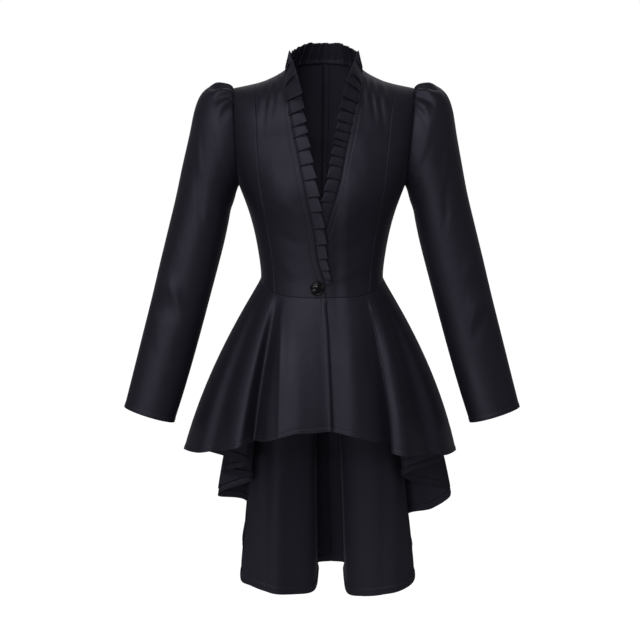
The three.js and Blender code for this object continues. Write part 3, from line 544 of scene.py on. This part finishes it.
LOWER_ROWS, STITCHED_ROWS, ROWS_TO_FULL_FOLD = slice(0, 60), slice(6, -4), 1.5
bodice_v = np.concatenate([np.linspace(0, ROWS_BELOW_CHEST, 150)[:-1],
                           np.linspace(ROWS_BELOW_CHEST, BODICE_ROWS, 70)])
for side_name, side in (("right", -1), ("left", 1)):
    front_edge = seam_edge(FRONT_EDGE[side_name], bodice_v, NECK_POINT, NECK_POINT_HEIGHT,
                           column(WAIST, 0), EDGE_UNDERARM, False)
    princess_top = column(RIDGE, SHOULDER_PRINCESS)
    front_waist = column(WAIST, angle_at(FRONT_PRINCESS[0][1], SEAM_FOOT, False))
    front_princess = seam_edge(FRONT_PRINCESS, bodice_v, SHOULDER_PRINCESS, princess_top,
                               front_waist, SEAM_UNDERARM, False)
    back_waist = column(WAIST, angle_at(BACK_PRINCESS[0][1], SEAM_FOOT, True))
    back_princess = seam_edge(BACK_PRINCESS, bodice_v, SHOULDER_PRINCESS, princess_top,
                              back_waist, SEAM_UNDERARM, True)
    centre_back = (np.full_like(bodice_v, 180),
                   edge_levels(bodice_v, column(WAIST, 180), SEAM_UNDERARM, 0, BACK_NECK[0][1]))
    for name, inner, outer, columns, top, borders in (
        ("front", front_edge, front_princess, 71, shoulder_top, ("end", "top")),
        ("side_front", front_princess, side_edge(bodice_v, False), 36, shoulder_top,
         ("start", "end", "top")),
        ("side_back", back_princess, side_edge(bodice_v, True), 30, shoulder_top,
         ("start", "end", "top")),
        ("back", centre_back, back_princess, 50, neck_top, ("start", "end", "top")),
    ):
        s = np.linspace(0, 1, columns)
        points = bodice_panel(side, inner, outer, bodice_v, s, top)
        normal = outward(points, points[LOWER_ROWS] * (1, 1, 0), LOWER_ROWS)
        lift = border_dip(points, borders)
        if name == "front":
            below_seam = ease(BODICE_ROWS - bodice_v[:, None], 0, ROWS_TO_FULL_FOLD)
            lift = lift + below_seam * folds(FRONT_FOLDS[side_name], points[..., 0], points[..., 2])
            from_edge = run_length(points, 1)
            lift = lift - EDGE_GROOVE * bell(from_edge - EDGE_STITCH, GROOVE_WIDTH)
        if name == "back":
            lift = lift + folds(BACK_FOLDS, points[..., 0], points[..., 2])
        points = points + normal * lift[..., None]
        node = f"{name}_{side_name}"
        panel = cloth_piece(f"{node}_cloth", points, normal, [node])
        if name == "front":
            stitches(f"edge_stitching_{side_name}",
                     at_distance(points, from_edge, EDGE_STITCH, 1)[STITCHED_ROWS],
                     at_distance(normal, from_edge, EDGE_STITCH, 1)[STITCHED_ROWS])
    # The allowances of the centre back seam are pressed over to the left on the inside
    if side_name == "left":
        across = np.linspace(SEAM_GAP, ALLOWANCE, 6)[None, :]
        height = height_at(0, centre_back[1])[:, None]
        points = body_surface(side, angle_at(across, height, True), centre_back[1][:, None] + 0 * across)
        normal = outward(points, points[LOWER_ROWS] * (1, 1, 0), LOWER_ROWS)
        inside = points - normal * (CLOTH + ALLOWANCE_CLEAR)
        allowance = cloth_piece("centre_back_allowance", inside, normal, [],
                                thickness=ALLOWANCE_CLOTH)

# Sleeves: one piece of satin each, gathered into the top of the armhole so that the head stands up
# in a puff, then narrowing to the wrist, where the edge is turned up and stitched.
# Rings down the arm: number, outside x and z, inside x and z, half depth, middle's y, share of gathers
SLEEVE_RINGS = [
    (0, 171, -33, 157.5, -216, 58, 0, 0.0), (1, 176.9, -29, 158.6, -217.5, 60.5, 0, 0.9),
    (2, 188.7, -26.5, 160, -220, 63, 0, 1.0), (3, 204.5, -27, 161.5, -224, 65, 0, 0.9),
    (4, 221.2, -34, 163.5, -230, 66, 0, 0.6), (5, 235, -49, 165.5, -238, 65, 0, 0.3),
    (6, 244.9, -76, 168.5, -248, 63, -1, 0.1), (7, 253.7, -122, 174, -264, 60, -2, 0.0),
    (8, 264.6, -174, 178.9, -290, 57, -3, 0.0), (9, 277.4, -236, 186.8, -326, 54, -5, 0.0),
    (10, 293.1, -300, 198.6, -372, 51, -8, 0.0), (11, 307.9, -360, 211.4, -420, 48, -12, 0.0),
    (12, 324.7, -430, 227.1, -479, 45, -17, 0.0), (13, 342.4, -500, 243.9, -540, 42, -23, 0.0),
    (14, 360.1, -570, 262.6, -604, 39, -29, 0.0), (15, 376.9, -636, 282.3, -666, 37, -35, 0.0),
]
# Gathers over the head: waves each way from the outside, the degrees that they take, and their height
HEAD_GATHERS, HEAD_SPREAD, HEAD_DEPTH = 4, 60, 1.2
# Hem: depth of the fold, distance of the stitches, and the step out over the fold; then the width of
# that step and the depth of the stitches' groove
CUFF_HEM = (9.5, 9, 0.7)
HEM_STEP_OVER, HEM_GROOVE = 2.5, 1.1
# Folds in millimetres round the arm from its outside (front positive) and down from the shoulder,
# measured on a round arm of the armhole's size
SLEEVE_FOLDS = {
    "right": [
        (10, -6, 2, 50, 4.5, 4.1), (18, -6, 20, 46, 4, -4.8), (26, -6, 34, 44, 4, 4.1),
        (33, -6, 48, 40, 4, -4.9), (40, -6, 60, 36, 4.5, 3.7), (48, -6, 72, 30, 4.5, -3.1),
        (-8, -6, -14, 44, 4.5, -4.1), (-17, -6, -28, 48, 4.5, 3.9), (-27, -6, -42, 40, 4, -4.4),
        (-38, -6, -58, 36, 4.5, 3.4), (-47, -6, -70, 30, 4.5, -3.1),
        (98, 318, 16, 448, 9, 3.6), (104, 342, 34, 470, 8, -2.6), (70, 120, 95, 190, 14, -2.2),
        (50, 90, 88, 170, 10, 1.6), (100, 330, 60, 380, 10, 1.8), (75, 470, 30, 540, 12, -1.2),
        (-60, 340, -20, 430, 12, 2.2), (-90, 310, -45, 385, 10, -1.8), (-70, 130, -95, 205, 14, -2.0),
    ],
    "left": [
        (8, -6, 3, 46, 4.5, 3.7), (16, -6, 22, 50, 4, -4.9), (25, -6, 36, 42, 4, 4.2),
        (34, -6, 52, 44, 4, -4.6), (42, -6, 64, 34, 4.5, 3.7), (50, -6, 76, 32, 4.5, -2.9),
        (-7, -6, -10, 40, 4.5, -3.7), (-18, -6, -30, 46, 4.5, 4.1), (-28, -6, -46, 42, 4, -4.4),
        (-39, -6, -60, 34, 4.5, 3.4), (-49, -6, -72, 30, 4.5, -2.9),
        (92, 372, 40, 440, 9, 3.0), (96, 392, 52, 462, 8, -2.2), (84, 300, 36, 372, 10, 1.6),
        (72, 128, 92, 205, 13, -2.0), (46, 96, 84, 160, 11, 1.5), (95, 345, 62, 400, 10, 1.5),
        (70, 455, 25, 520, 13, -1.3),
        (-58, 350, -18, 445, 12, 2.3), (-86, 300, -48, 380, 11, -1.7), (-74, 140, -96, 210, 13, -1.9),
    ],
}


def hem_lift(from_edge, fold, stitch, step):
    """Turned-up edge: a slight step out over the fold, or in where it is negative, and a groove at the
    stitches."""
    over_fold = ease(fold + 2 - from_edge, 0, HEM_STEP_OVER)
    return step * over_fold - HEM_GROOVE * bell(from_edge - stitch, GROOVE_WIDTH)


def sleeve_surface(side, t, turn):
    """Ellipses on a diameter from the outside to the inside of the arm, t rings down from the armhole,
    with short folds that radiate from the shoulder point over the head."""
    ring = [column(SLEEVE_RINGS, t, k)[:, None] for k in range(1, 8)]
    out_x, out_z, in_x, in_z, half, forward, gather = ring
    cosine, sine = np.cos(np.radians(turn))[None, :], np.sin(np.radians(turn))[None, :]
    near = np.where(np.abs(turn) <= HEAD_SPREAD, np.cos(np.radians(turn * 90 / HEAD_SPREAD)), 0)[None, :]
    fold = np.cos(np.pi * HEAD_GATHERS * turn / HEAD_SPREAD)[None, :]
    lift = gather * HEAD_DEPTH * near * fold
    x = (out_x + in_x) / 2 + (out_x - in_x) / 2 * cosine
    z = (out_z + in_z) / 2 + (out_z - in_z) / 2 * cosine + lift * np.maximum(0, cosine)
    y = forward - half * sine - lift * sine
    return np.stack([side * x + neck_shift(z), y, z], -1)


sleeve_t = np.concatenate([np.linspace(0, 7, 80)[:-1], np.linspace(7, 14.6, 70)[:-1],
                           np.linspace(14.6, 15, 14)])
sleeve_turn = np.linspace(-180, 180, 96, endpoint=False)
for side_name, side in (("right", -1), ("left", 1)):
    points = sleeve_surface(side, sleeve_t, sleeve_turn)
    centre = points.mean(axis=1, keepdims=True)
    normal = np.cross(np.gradient(points, axis=0), np.roll(points, -1, 1) - np.roll(points, 1, 1))
    normal /= np.linalg.norm(normal, axis=-1, keepdims=True)
    normal *= np.sign(np.sum(normal * (points - centre)))
    down = run_length(points, 0)
    from_hem = down[-1:] - down
    round_arm = np.radians(sleeve_turn)[None, :] * ARMHOLE_HALF_DEPTH + 0 * down
    lift = folds(SLEEVE_FOLDS[side_name], round_arm, down) + hem_lift(from_hem, *CUFF_HEM)
    lift = lift - SEAM_DEPTH * bell(down, SEAM_WIDTH)
    points = points + normal * lift[..., None]
    sleeve = cloth_piece(f"sleeve_{side_name}_cloth", points, normal, [f"sleeve_{side_name}"],
                         closed=True)
    stitches(f"cuff_stitching_{side_name}", at_distance(points, from_hem, CUFF_HEM[1], 0),
             at_distance(normal, from_hem, CUFF_HEM[1], 0))

# Skirt: two front quarters and two tails cut as parts of a circle and sewn to the waist. The cloth
# hangs in flutes from the seam, short in front, falling in cascades at the sides to a long folded tail.
FLARE_BOW = {"right": 0.4, "left": 0.5}
SIDE_SEAM = 88
# Hem from the front edge to the centre back: degrees round the waist, distance out, depth, height
HEM = {
    "right": [
        (-3.3, -19.4, -150, -664), (6, 13, -158, -667), (16, 48, -162, -668), (25, 79, -162, -676),
        (34, 104, -150, -684), (43, 127, -110, -689), (50, 151, -140, -696), (56, 173, -134, -702),
        (64, 203, -98, -711), (72, 233, -84, -717), (82, 265, -25, -720), (88, 252, 22, -726),
        (98, 148, 42, -764), (108, 199, 72, -785), (117, 142, 108, -808), (125, 212, 126, -842),
        (132, 153, 164, -864), (137, 160, 152, -949), (142, 164, 160, -1027), (148, 142, 142, -1034),
        (156, 101, 120, -1043), (164, 58, 134, -1049), (169, 19, 160, -1049), (173, 10, 198, -1026),
        (177, 12, 236, -1010), (180, -19.3, 255, -1010),
    ],
    "left": [
        (-13, -26, -141, -665), (4, 20, -144, -667), (17, 55, -150, -675), (30, 94, -144, -685),
        (42, 133, -119, -696), (46, 130, -149, -706), (53, 157, -152, -712), (63, 199, -97, -714),
        (72, 230, -82, -722), (82, 257, -25, -722), (88, 246, 20, -732), (98, 161, 40, -770),
        (107, 242, 74, -758), (115, 163, 106, -801), (122, 261, 118, -836), (127, 226, 142, -872),
        (132, 172, 174, -896), (137, 182, 150, -960), (142, 188, 156, -1023), (148, 165, 132, -1038),
        (156, 124, 120, -1046), (164, 82, 127, -1051), (169, 55, 152, -1052), (173, 48, 198, -1026),
        (177, 51, 236, -1010), (180, 19.3, 255, -1010),
    ],
}
SKIRT_FOLDS = {
    "right": [(-76, -440, -80, -730, 5, 1.8), (-94, -455, -97, -730, 12, -1.4),
              (-52, -450, -44, -720, 16, 1.2)],
    "left": [(50, -450, 64, -730, 16, 1.4), (84, -450, 102, -730, 22, -4.2),
             (112, -450, 160, -730, 15, 3.0)],
}
TAIL_FOLDS = {
    "right": [(-112, -690, -112, -1150, 10, 1.6), (-90, -690, -90, -1150, 15, -3.4),
              (-150, -880, -153, -1080, 8, 1.2)],
    "left": [(124, -690, 124, -1150, 10, 1.4), (148, -690, 146, -1150, 8, -1.2),
             (84, -700, 82, -1150, 12, 0.8)],
}
# The front's hem runs over into the tail's deeper one just behind the side seam
FRONT_HEM, TAIL_HEM, HEM_CHANGE = (9.5, 9, 0.7), (13.5, 12.5, -1.8), 60
# The right edge stands off the left one and rolls down at its very edge, and the left edge sinks:
# height, width, and the distances below the waist between which that begins
OVERLAP_LIFT, OVERLAP_WIDTH, OVERLAP_BEGINS = {"right": 3.2, "left": -1.2}, 9, (8, 70)
EDGE_ROLL, ROLL_WIDTH, ROLL_BEGINS = {"right": 2.4, "left": 0}, 2.6, (0, 20)


def hem_curve(table, u):
    """Centripetal Catmull-Rom curve through the rows: u counts rows, and the angle goes straight."""
    rows = np.array(table, float)
    points = rows[:, 1:]
    padded = np.concatenate([2 * points[:1] - points[1:2], points, 2 * points[-1:] - points[-2:-1]])
    i = np.clip(np.floor(u).astype(int), 0, len(points) - 2)
    t = (u - i)[:, None]
    p0, p1, p2, p3 = (padded[i + k] for k in range(4))
    d0, d1, d2 = (np.linalg.norm(b - a, axis=-1, keepdims=True) ** 0.5
                  for a, b in ((p0, p1), (p1, p2), (p2, p3)))
    start = ((p1 - p0) / d0 - (p2 - p0) / (d0 + d1) + (p2 - p1) / d1) * d1
    end = ((p2 - p1) / d1 - (p3 - p1) / (d1 + d2) + (p3 - p2) / d2) * d1
    curve = (p1 + start * t + (-3 * p1 + 3 * p2 - 2 * start - end) * t**2
             + (2 * p1 - 2 * p2 + start + end) * t**3)
    angle = blend(rows[i, 0], rows[i + 1, 0], u - i)
    return curve, angle


def skirt_surface(side, table, bow, u, v):
    """Lines from the waist seam to the hem curve, v from 0 to 1 down them, bowed out like a bell:
    the share of the way out is v(1 + bow(1 - v))."""
    hem, angle = hem_curve(table, u)
    hem = hem * (side, 1, 1)
    waist = body_surface(side, angle, level_at(0, column(WAIST, np.abs(angle))))
    v = v[:, None, None]
    out = v * (1 + bow * (1 - v))
    flat = blend(waist[None], hem[None], out)
    return np.concatenate([flat[..., :2], blend(waist[None], hem[None], v)[..., 2:]], -1)


TOP_ROWS, STITCHED_SKIRT_ROWS = slice(0, 8), slice(4, -12)
skirt_v = np.concatenate([np.linspace(0, 0.06, 10)[:-1], np.linspace(0.06, 0.94, 78)[:-1],
                          np.linspace(0.94, 1, 22)])
for side_name, side in (("right", -1), ("left", 1)):
    table = HEM[side_name]
    seam_row = [row[0] for row in table].index(SIDE_SEAM)
    for name, first, last, columns in (("front_skirt", 0, seam_row, 170),
                                       ("tail", seam_row, len(table) - 1, 250)):
        u = np.linspace(first, last, columns)
        points = skirt_surface(side, table, FLARE_BOW[side_name], u, skirt_v)
        normal = outward(points, points[TOP_ROWS] * (1, 1, 0), TOP_ROWS)
        down, across = run_length(points, 0), run_length(points, 1)
        from_hem, from_end = down[-1:] - down, across[:, -1:] - across
        is_front = name == "front_skirt"
        creases = (SKIRT_FOLDS if is_front else TAIL_FOLDS)[side_name]
        into_tail = 0 if is_front else ease(across[-1], 0, HEM_CHANGE)
        fold, stitch, step = (blend(a, b, into_tail) for a, b in zip(FRONT_HEM, TAIL_HEM))
        lift = hem_lift(from_hem, fold, stitch, step) + folds(creases, points[..., 0], points[..., 2])
        lift = lift - SEAM_DEPTH * bell(from_end, SEAM_WIDTH)
        if is_front:
            raised = OVERLAP_LIFT[side_name] * bell(across, OVERLAP_WIDTH) * ease(down, *OVERLAP_BEGINS)
            rolled = EDGE_ROLL[side_name] * bell(across, ROLL_WIDTH) * ease(down, *ROLL_BEGINS)
            lift = lift + raised - rolled - EDGE_GROOVE * bell(across - EDGE_STITCH, GROOVE_WIDTH)
        else:
            lift = lift - SEAM_DEPTH * bell(across, SEAM_WIDTH)
        node = f"{name}_{side_name}"
        points = points + normal * lift[..., None]
        skirt = cloth_piece(f"{node}_cloth", points, normal, [node],
                            crisp_top=True)
        hem_line, hem_out = (at_distance(grid, from_hem, stitch, 0) for grid in (points, normal))
        stitches(f"hem_stitching_{node}", hem_line, hem_out)
        if is_front:
            stitches(f"front_edge_stitching_{side_name}",
                     at_distance(points, across, EDGE_STITCH, 1)[STITCHED_SKIRT_ROWS],
                     at_distance(normal, across, EDGE_STITCH, 1)[STITCHED_SKIRT_ROWS])
        else:
            stitches(f"hem_stitching_inside_{side_name}", hem_line - hem_out * CLOTH, -hem_out)

# Ruffle: a strip of satin in knife pleats, sewn into the edge of the V on both fronts and on round
# the back neckline, where it turns up and stands as the collar.
RUFFLE_WIDTH = [(-400, 13), (-385, 15), (-355, 19), (-305, 22), (-207, 26), (-125, 28), (-60, 31),
                (0, 35), (20, 39)]
# The collar is higher at two peaks: by what share, how far out from its middle, and how wide
COLLAR_PEAK, PEAK_OUT, PEAK_SPREAD = 0.07, 33, 9
# Heights between which the strip turns up to stand, and its lean over the neck as it stands
TURN_FROM, TURN_TO, LEAN, STANDING = -62, 2, 0.38, 0.98
# Where it lies on the front: its slopes outwards and, at two heights and between them, upwards
LYING_OUT, LYING_UP, LYING_HEIGHTS = 0.12, (0.2, 0.44), (-260, -80)
COLLAR_PLEATS = 13
# Heights of the folded edges of the pleats, down the two fronts; the strip below them runs out flat
RUFFLE_FOLDS = {
    "right": [0.4, -3, -11, -32, -61, -86, -109, -128, -154, -180, -207, -238, -265, -296, -326, -353, -374],
    "left": [0.4, -3, -9, -28, -43, -64, -84, -104, -120, -136, -147, -165, -182, -205, -228, -247, -272],
}
RUFFLE_START, RUFFLE_END, RUN_OUT = 1.5, {"right": -398, "left": -300}, 16
# Share of a pleat that the one before it covers at the root, and that shows open at the free edge
PLEAT_OVERLAP, PLEAT_OPENING, COLLAR_PLEAT_HEIGHT = 0.42, 0.16, 3.4
FRONT_PLEAT_HEIGHT = {"right": [(-400, 4.4), (-300, 5.2), (-180, 6.4), (-100, 9.2), (-40, 9.6), (0, 6)],
                      "left": [(-300, 3.6), (-240, 4.4), (-160, 6.0), (-100, 8.4), (-40, 8.8), (0, 6)]}
# The root is tucked under the front's edge, over the first share of the strip's width
TUCKED_UNDER, TUCK_SHARE = 1.6, 0.15
# A pleat's face bulges and its return falls steeply, by powers of the way along them
FACE_STEPS, FACE_POWER = 14, 0.85
RETURN_STEPS, RETURN_POWER, RETURN_FALL = 6, 0.7, 0.96
# Share of the full width at a pleat's root and fold, least lift, and the width that lifts in full
WIDTH_AT_ROOT, WIDTH_AT_FOLD, LEAST_LIFT, FULL_LIFT_WIDTH = 0.92, 1.06, 0.25, 20
RUFFLE_CLOTH = 0.6
LINE_STEPS = 400


def neck_line(side, side_name):
    """Points up the front edge of one side, and round the back neckline to its centre."""
    z = np.array([*range(-408, -11, 12), -5, -1, 1, 1.8, 1.98], float)
    x = column(FRONT_EDGE[side_name], z)
    front = body_surface(side, angle_at(x, z, False), level_at(NECK_POINT, z))
    back_x = np.linspace(NECK_POINT, 0, 11)
    back_z = column(BACK_NECK, back_x)
    back = body_surface(side, angle_at(back_x, back_z, True), level_at(back_x, back_z))
    return front, back


def along_line(points, u):
    """Point and direction at shares u of the length of a line through the points."""
    length = run_length(points[None], 1)[0]
    smooth = np.linspace(0, length[-1], LINE_STEPS)
    line = np.stack([column(np.c_[length, points[:, k]], smooth) for k in range(3)], -1)
    place = np.clip(u, 0, 1) * length[-1]
    at = np.stack([np.interp(place, smooth, line[:, k]) for k in range(3)], -1)
    slope = np.gradient(line, smooth, axis=0)
    return at, unit(np.stack([np.interp(place, smooth, slope[:, k]) for k in range(3)], -1))


def pleat_path(hidden, folded):
    """Places along the line and heights of a knife-pleated strip. From each hidden fold the face of a
    pleat runs on to the next folded edge while it rises from 0 to 1, and the strip then turns back
    under it, falling to 0, to the next hidden fold."""
    face = np.linspace(0, 1, FACE_STEPS, endpoint=False)
    back = np.linspace(0, 1, RETURN_STEPS, endpoint=False)
    start, end, after = hidden[:-1, None], folded[:, None], hidden[1:, None]
    place = np.concatenate([blend(start, end, face), blend(end, after, back)], axis=1)
    rise = np.append(face**FACE_POWER, 1 - back**RETURN_POWER * RETURN_FALL) + 0 * place
    return np.append(place.ravel(), hidden[-1]), np.append(rise.ravel(), 0)


def ruffle_surface(line, side, root, free, rise, depth, w):
    """The pleated strip on its seam line: it reaches inwards at the front and turns to stand at the
    neck, and lifts off the line by the height of the pleat, more so towards its free edge, where the
    pleats also open from their places at the root to those at the free edge."""
    w = w[:, None]
    at, way = along_line(line, blend(root, free, np.clip(w, 0, 1)))
    turned = (np.ones(at.shape[:-1]) if side == 0 else ease(at[..., 2], TURN_FROM, TURN_TO))[..., None]
    centre, level = np.array([NECK_SHIFT, 0, 0]), (1, 1, 0)
    inwards = np.where((turned > STANDING) | (side == 0), unit((centre - at) * level), (-side, 0, 0))
    upwards = blend(*LYING_UP, ease(at[..., 2:], *LYING_HEIGHTS))
    lying = np.concatenate([np.full_like(upwards, -side), np.full_like(upwards, -LYING_OUT), upwards], -1)
    reach = unit(blend(lying, (0, 0, 1) + LEAN * inwards, turned))
    out = unit(np.cross(way, reach))
    outwards = blend(np.array([0, -1, 0.0]), unit((at - centre) * level), turned)
    out = out * np.sign(np.sum(out * outwards, -1, keepdims=True))
    width = column(RUFFLE_WIDTH, at[..., 2]) * (blend(WIDTH_AT_ROOT, WIDTH_AT_FOLD, rise) if side else 1)
    if side == 0:
        from_peak = np.abs(at[..., 0] - NECK_SHIFT) - PEAK_OUT
        width = width * (1 + COLLAR_PEAK * bell(from_peak, PEAK_SPREAD))
    lift = depth * rise * np.minimum(1, width / FULL_LIFT_WIDTH) * blend(LEAST_LIFT, 1, w)
    rooted = TUCKED_UNDER * (1 - np.clip(w / TUCK_SHARE, 0, 1))
    return at + reach * (width * w)[..., None] + out * (lift - rooted)[..., None], out


ruffle_w = np.linspace(-0.08, 1, 15)
right_line, right_back = neck_line(-1, "right")
left_line, left_back = neck_line(1, "left")
for name, side, line in (("right", -1, right_line), ("left", 1, left_line),
                         ("collar", 0, np.concatenate([right_back, left_back[-2::-1]]))):
    line = line[::-1] if side else line
    length = run_length(line[None], 1)[0]
    if side:
        ends = np.array([RUFFLE_START, *RUFFLE_FOLDS[name], RUFFLE_END[name]])
        folded = np.interp(-ends, -line[:, 2], length)
    else:
        folded = np.linspace(0, length[-1], COLLAR_PLEATS + 1)
    pleat = np.diff(folded)
    hidden_root = np.append(np.maximum(folded[:-1] - PLEAT_OVERLAP * pleat, folded[0]), folded[-1])
    hidden_free = np.append(folded[:-1] + PLEAT_OPENING * pleat, folded[-1])
    hidden_free[0] = folded[0]
    root, rise = pleat_path(hidden_root, folded[1:])
    free, _ = pleat_path(hidden_free, folded[1:])
    depth = COLLAR_PLEAT_HEIGHT
    if side:
        rise = rise * ease(folded[-1] - root, 0, RUN_OUT)
        depth = column(FRONT_PLEAT_HEIGHT[name], np.interp(root, length, line[:, 2]))
    points, out = ruffle_surface(line, side, root / length[-1], free / length[-1], rise, depth, ruffle_w)
    ruffle = cloth_piece(f"ruffle_{name}_cloth", points, outward(points, out), [f"ruffle_{name}"],
                         reverse=satin, thickness=RUFFLE_CLOTH)

# Button: a glossy black moulded button with a raised rim, sewn on by its shank.
low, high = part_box("button")
button_centre = np.array([(low.x + high.x) / 2, high.y, (low.z + high.z) / 2])
button_radius = (high.x - low.x) / 2
button_depth = high.y - low.y
# Outline from the back of the shank to the middle of the face: share of radius, share of depth
BUTTON_OUTLINE = [
    (0.0, 0.0), (0.3, 0.0), (0.31, 0.02), (0.31, 0.3), (0.4, 0.33), (0.75, 0.33), (0.95, 0.42), (1.0, 0.52),
    (1.0, 0.66), (0.96, 0.8), (0.89, 0.86), (0.82, 0.8), (0.78, 0.7), (0.72, 0.7), (0.6, 0.81), (0.4, 0.93),
    (0.18, 0.99), (0.0, 1.0),
]
BUTTON_RINGS, BUTTON_SPOKES = 70, 72
outline = np.array(BUTTON_OUTLINE)
steps = np.linspace(0, len(outline) - 1, BUTTON_RINGS)
rows = np.arange(len(outline))
radius = column(np.c_[rows, outline[:, 0]], steps)[1:-1, None] * button_radius
depth = column(np.c_[rows, outline[:, 1]], steps)[1:-1, None] * button_depth
turn = np.linspace(0, 2 * np.pi, BUTTON_SPOKES, endpoint=False)[None, :]
ring = np.stack([button_centre[0] + radius * np.cos(turn), button_centre[1] - depth + 0 * turn,
                 button_centre[2] + radius * np.sin(turn)], -1)
count, spokes = ring.shape[:2]
ends = np.array([button_centre, button_centre - (0, button_depth, 0)])
index = np.arange(count * spokes).reshape(count, spokes)
index = np.concatenate([index, index[:, :1]], axis=1)
faces = np.stack([index[:-1, :-1], index[1:, :-1], index[1:, 1:], index[:-1, 1:]], -1)
faces = faces.reshape(-1, 4).tolist()
back_pole, front_pole = count * spokes, count * spokes + 1
faces += [[back_pole, a, b] for a, b in zip(index[0, :-1].tolist(), index[0, 1:].tolist())]
faces += [[front_pole, b, a] for a, b in zip(index[-1, :-1].tolist(), index[-1, 1:].tolist())]
button_mesh = bpy.data.meshes.new("button_moulding")
button_mesh.from_pydata(np.concatenate([ring.reshape(-1, 3), ends]).tolist(), [], faces)
button_mesh.polygons.foreach_set("use_smooth", np.ones(len(button_mesh.polygons), bool))
gloss_black, gloss_shader = new_material("gloss_black", (0.003, 0.003, 0.005), 0.1)
gloss_shader.inputs["Specular IOR Level"].default_value = 0.22
button_mesh.materials.append(gloss_black)
button = bpy.data.objects.new("button_moulding", button_mesh)
bpy.context.scene.collection.objects.link(button)
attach(button, "root")
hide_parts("button")
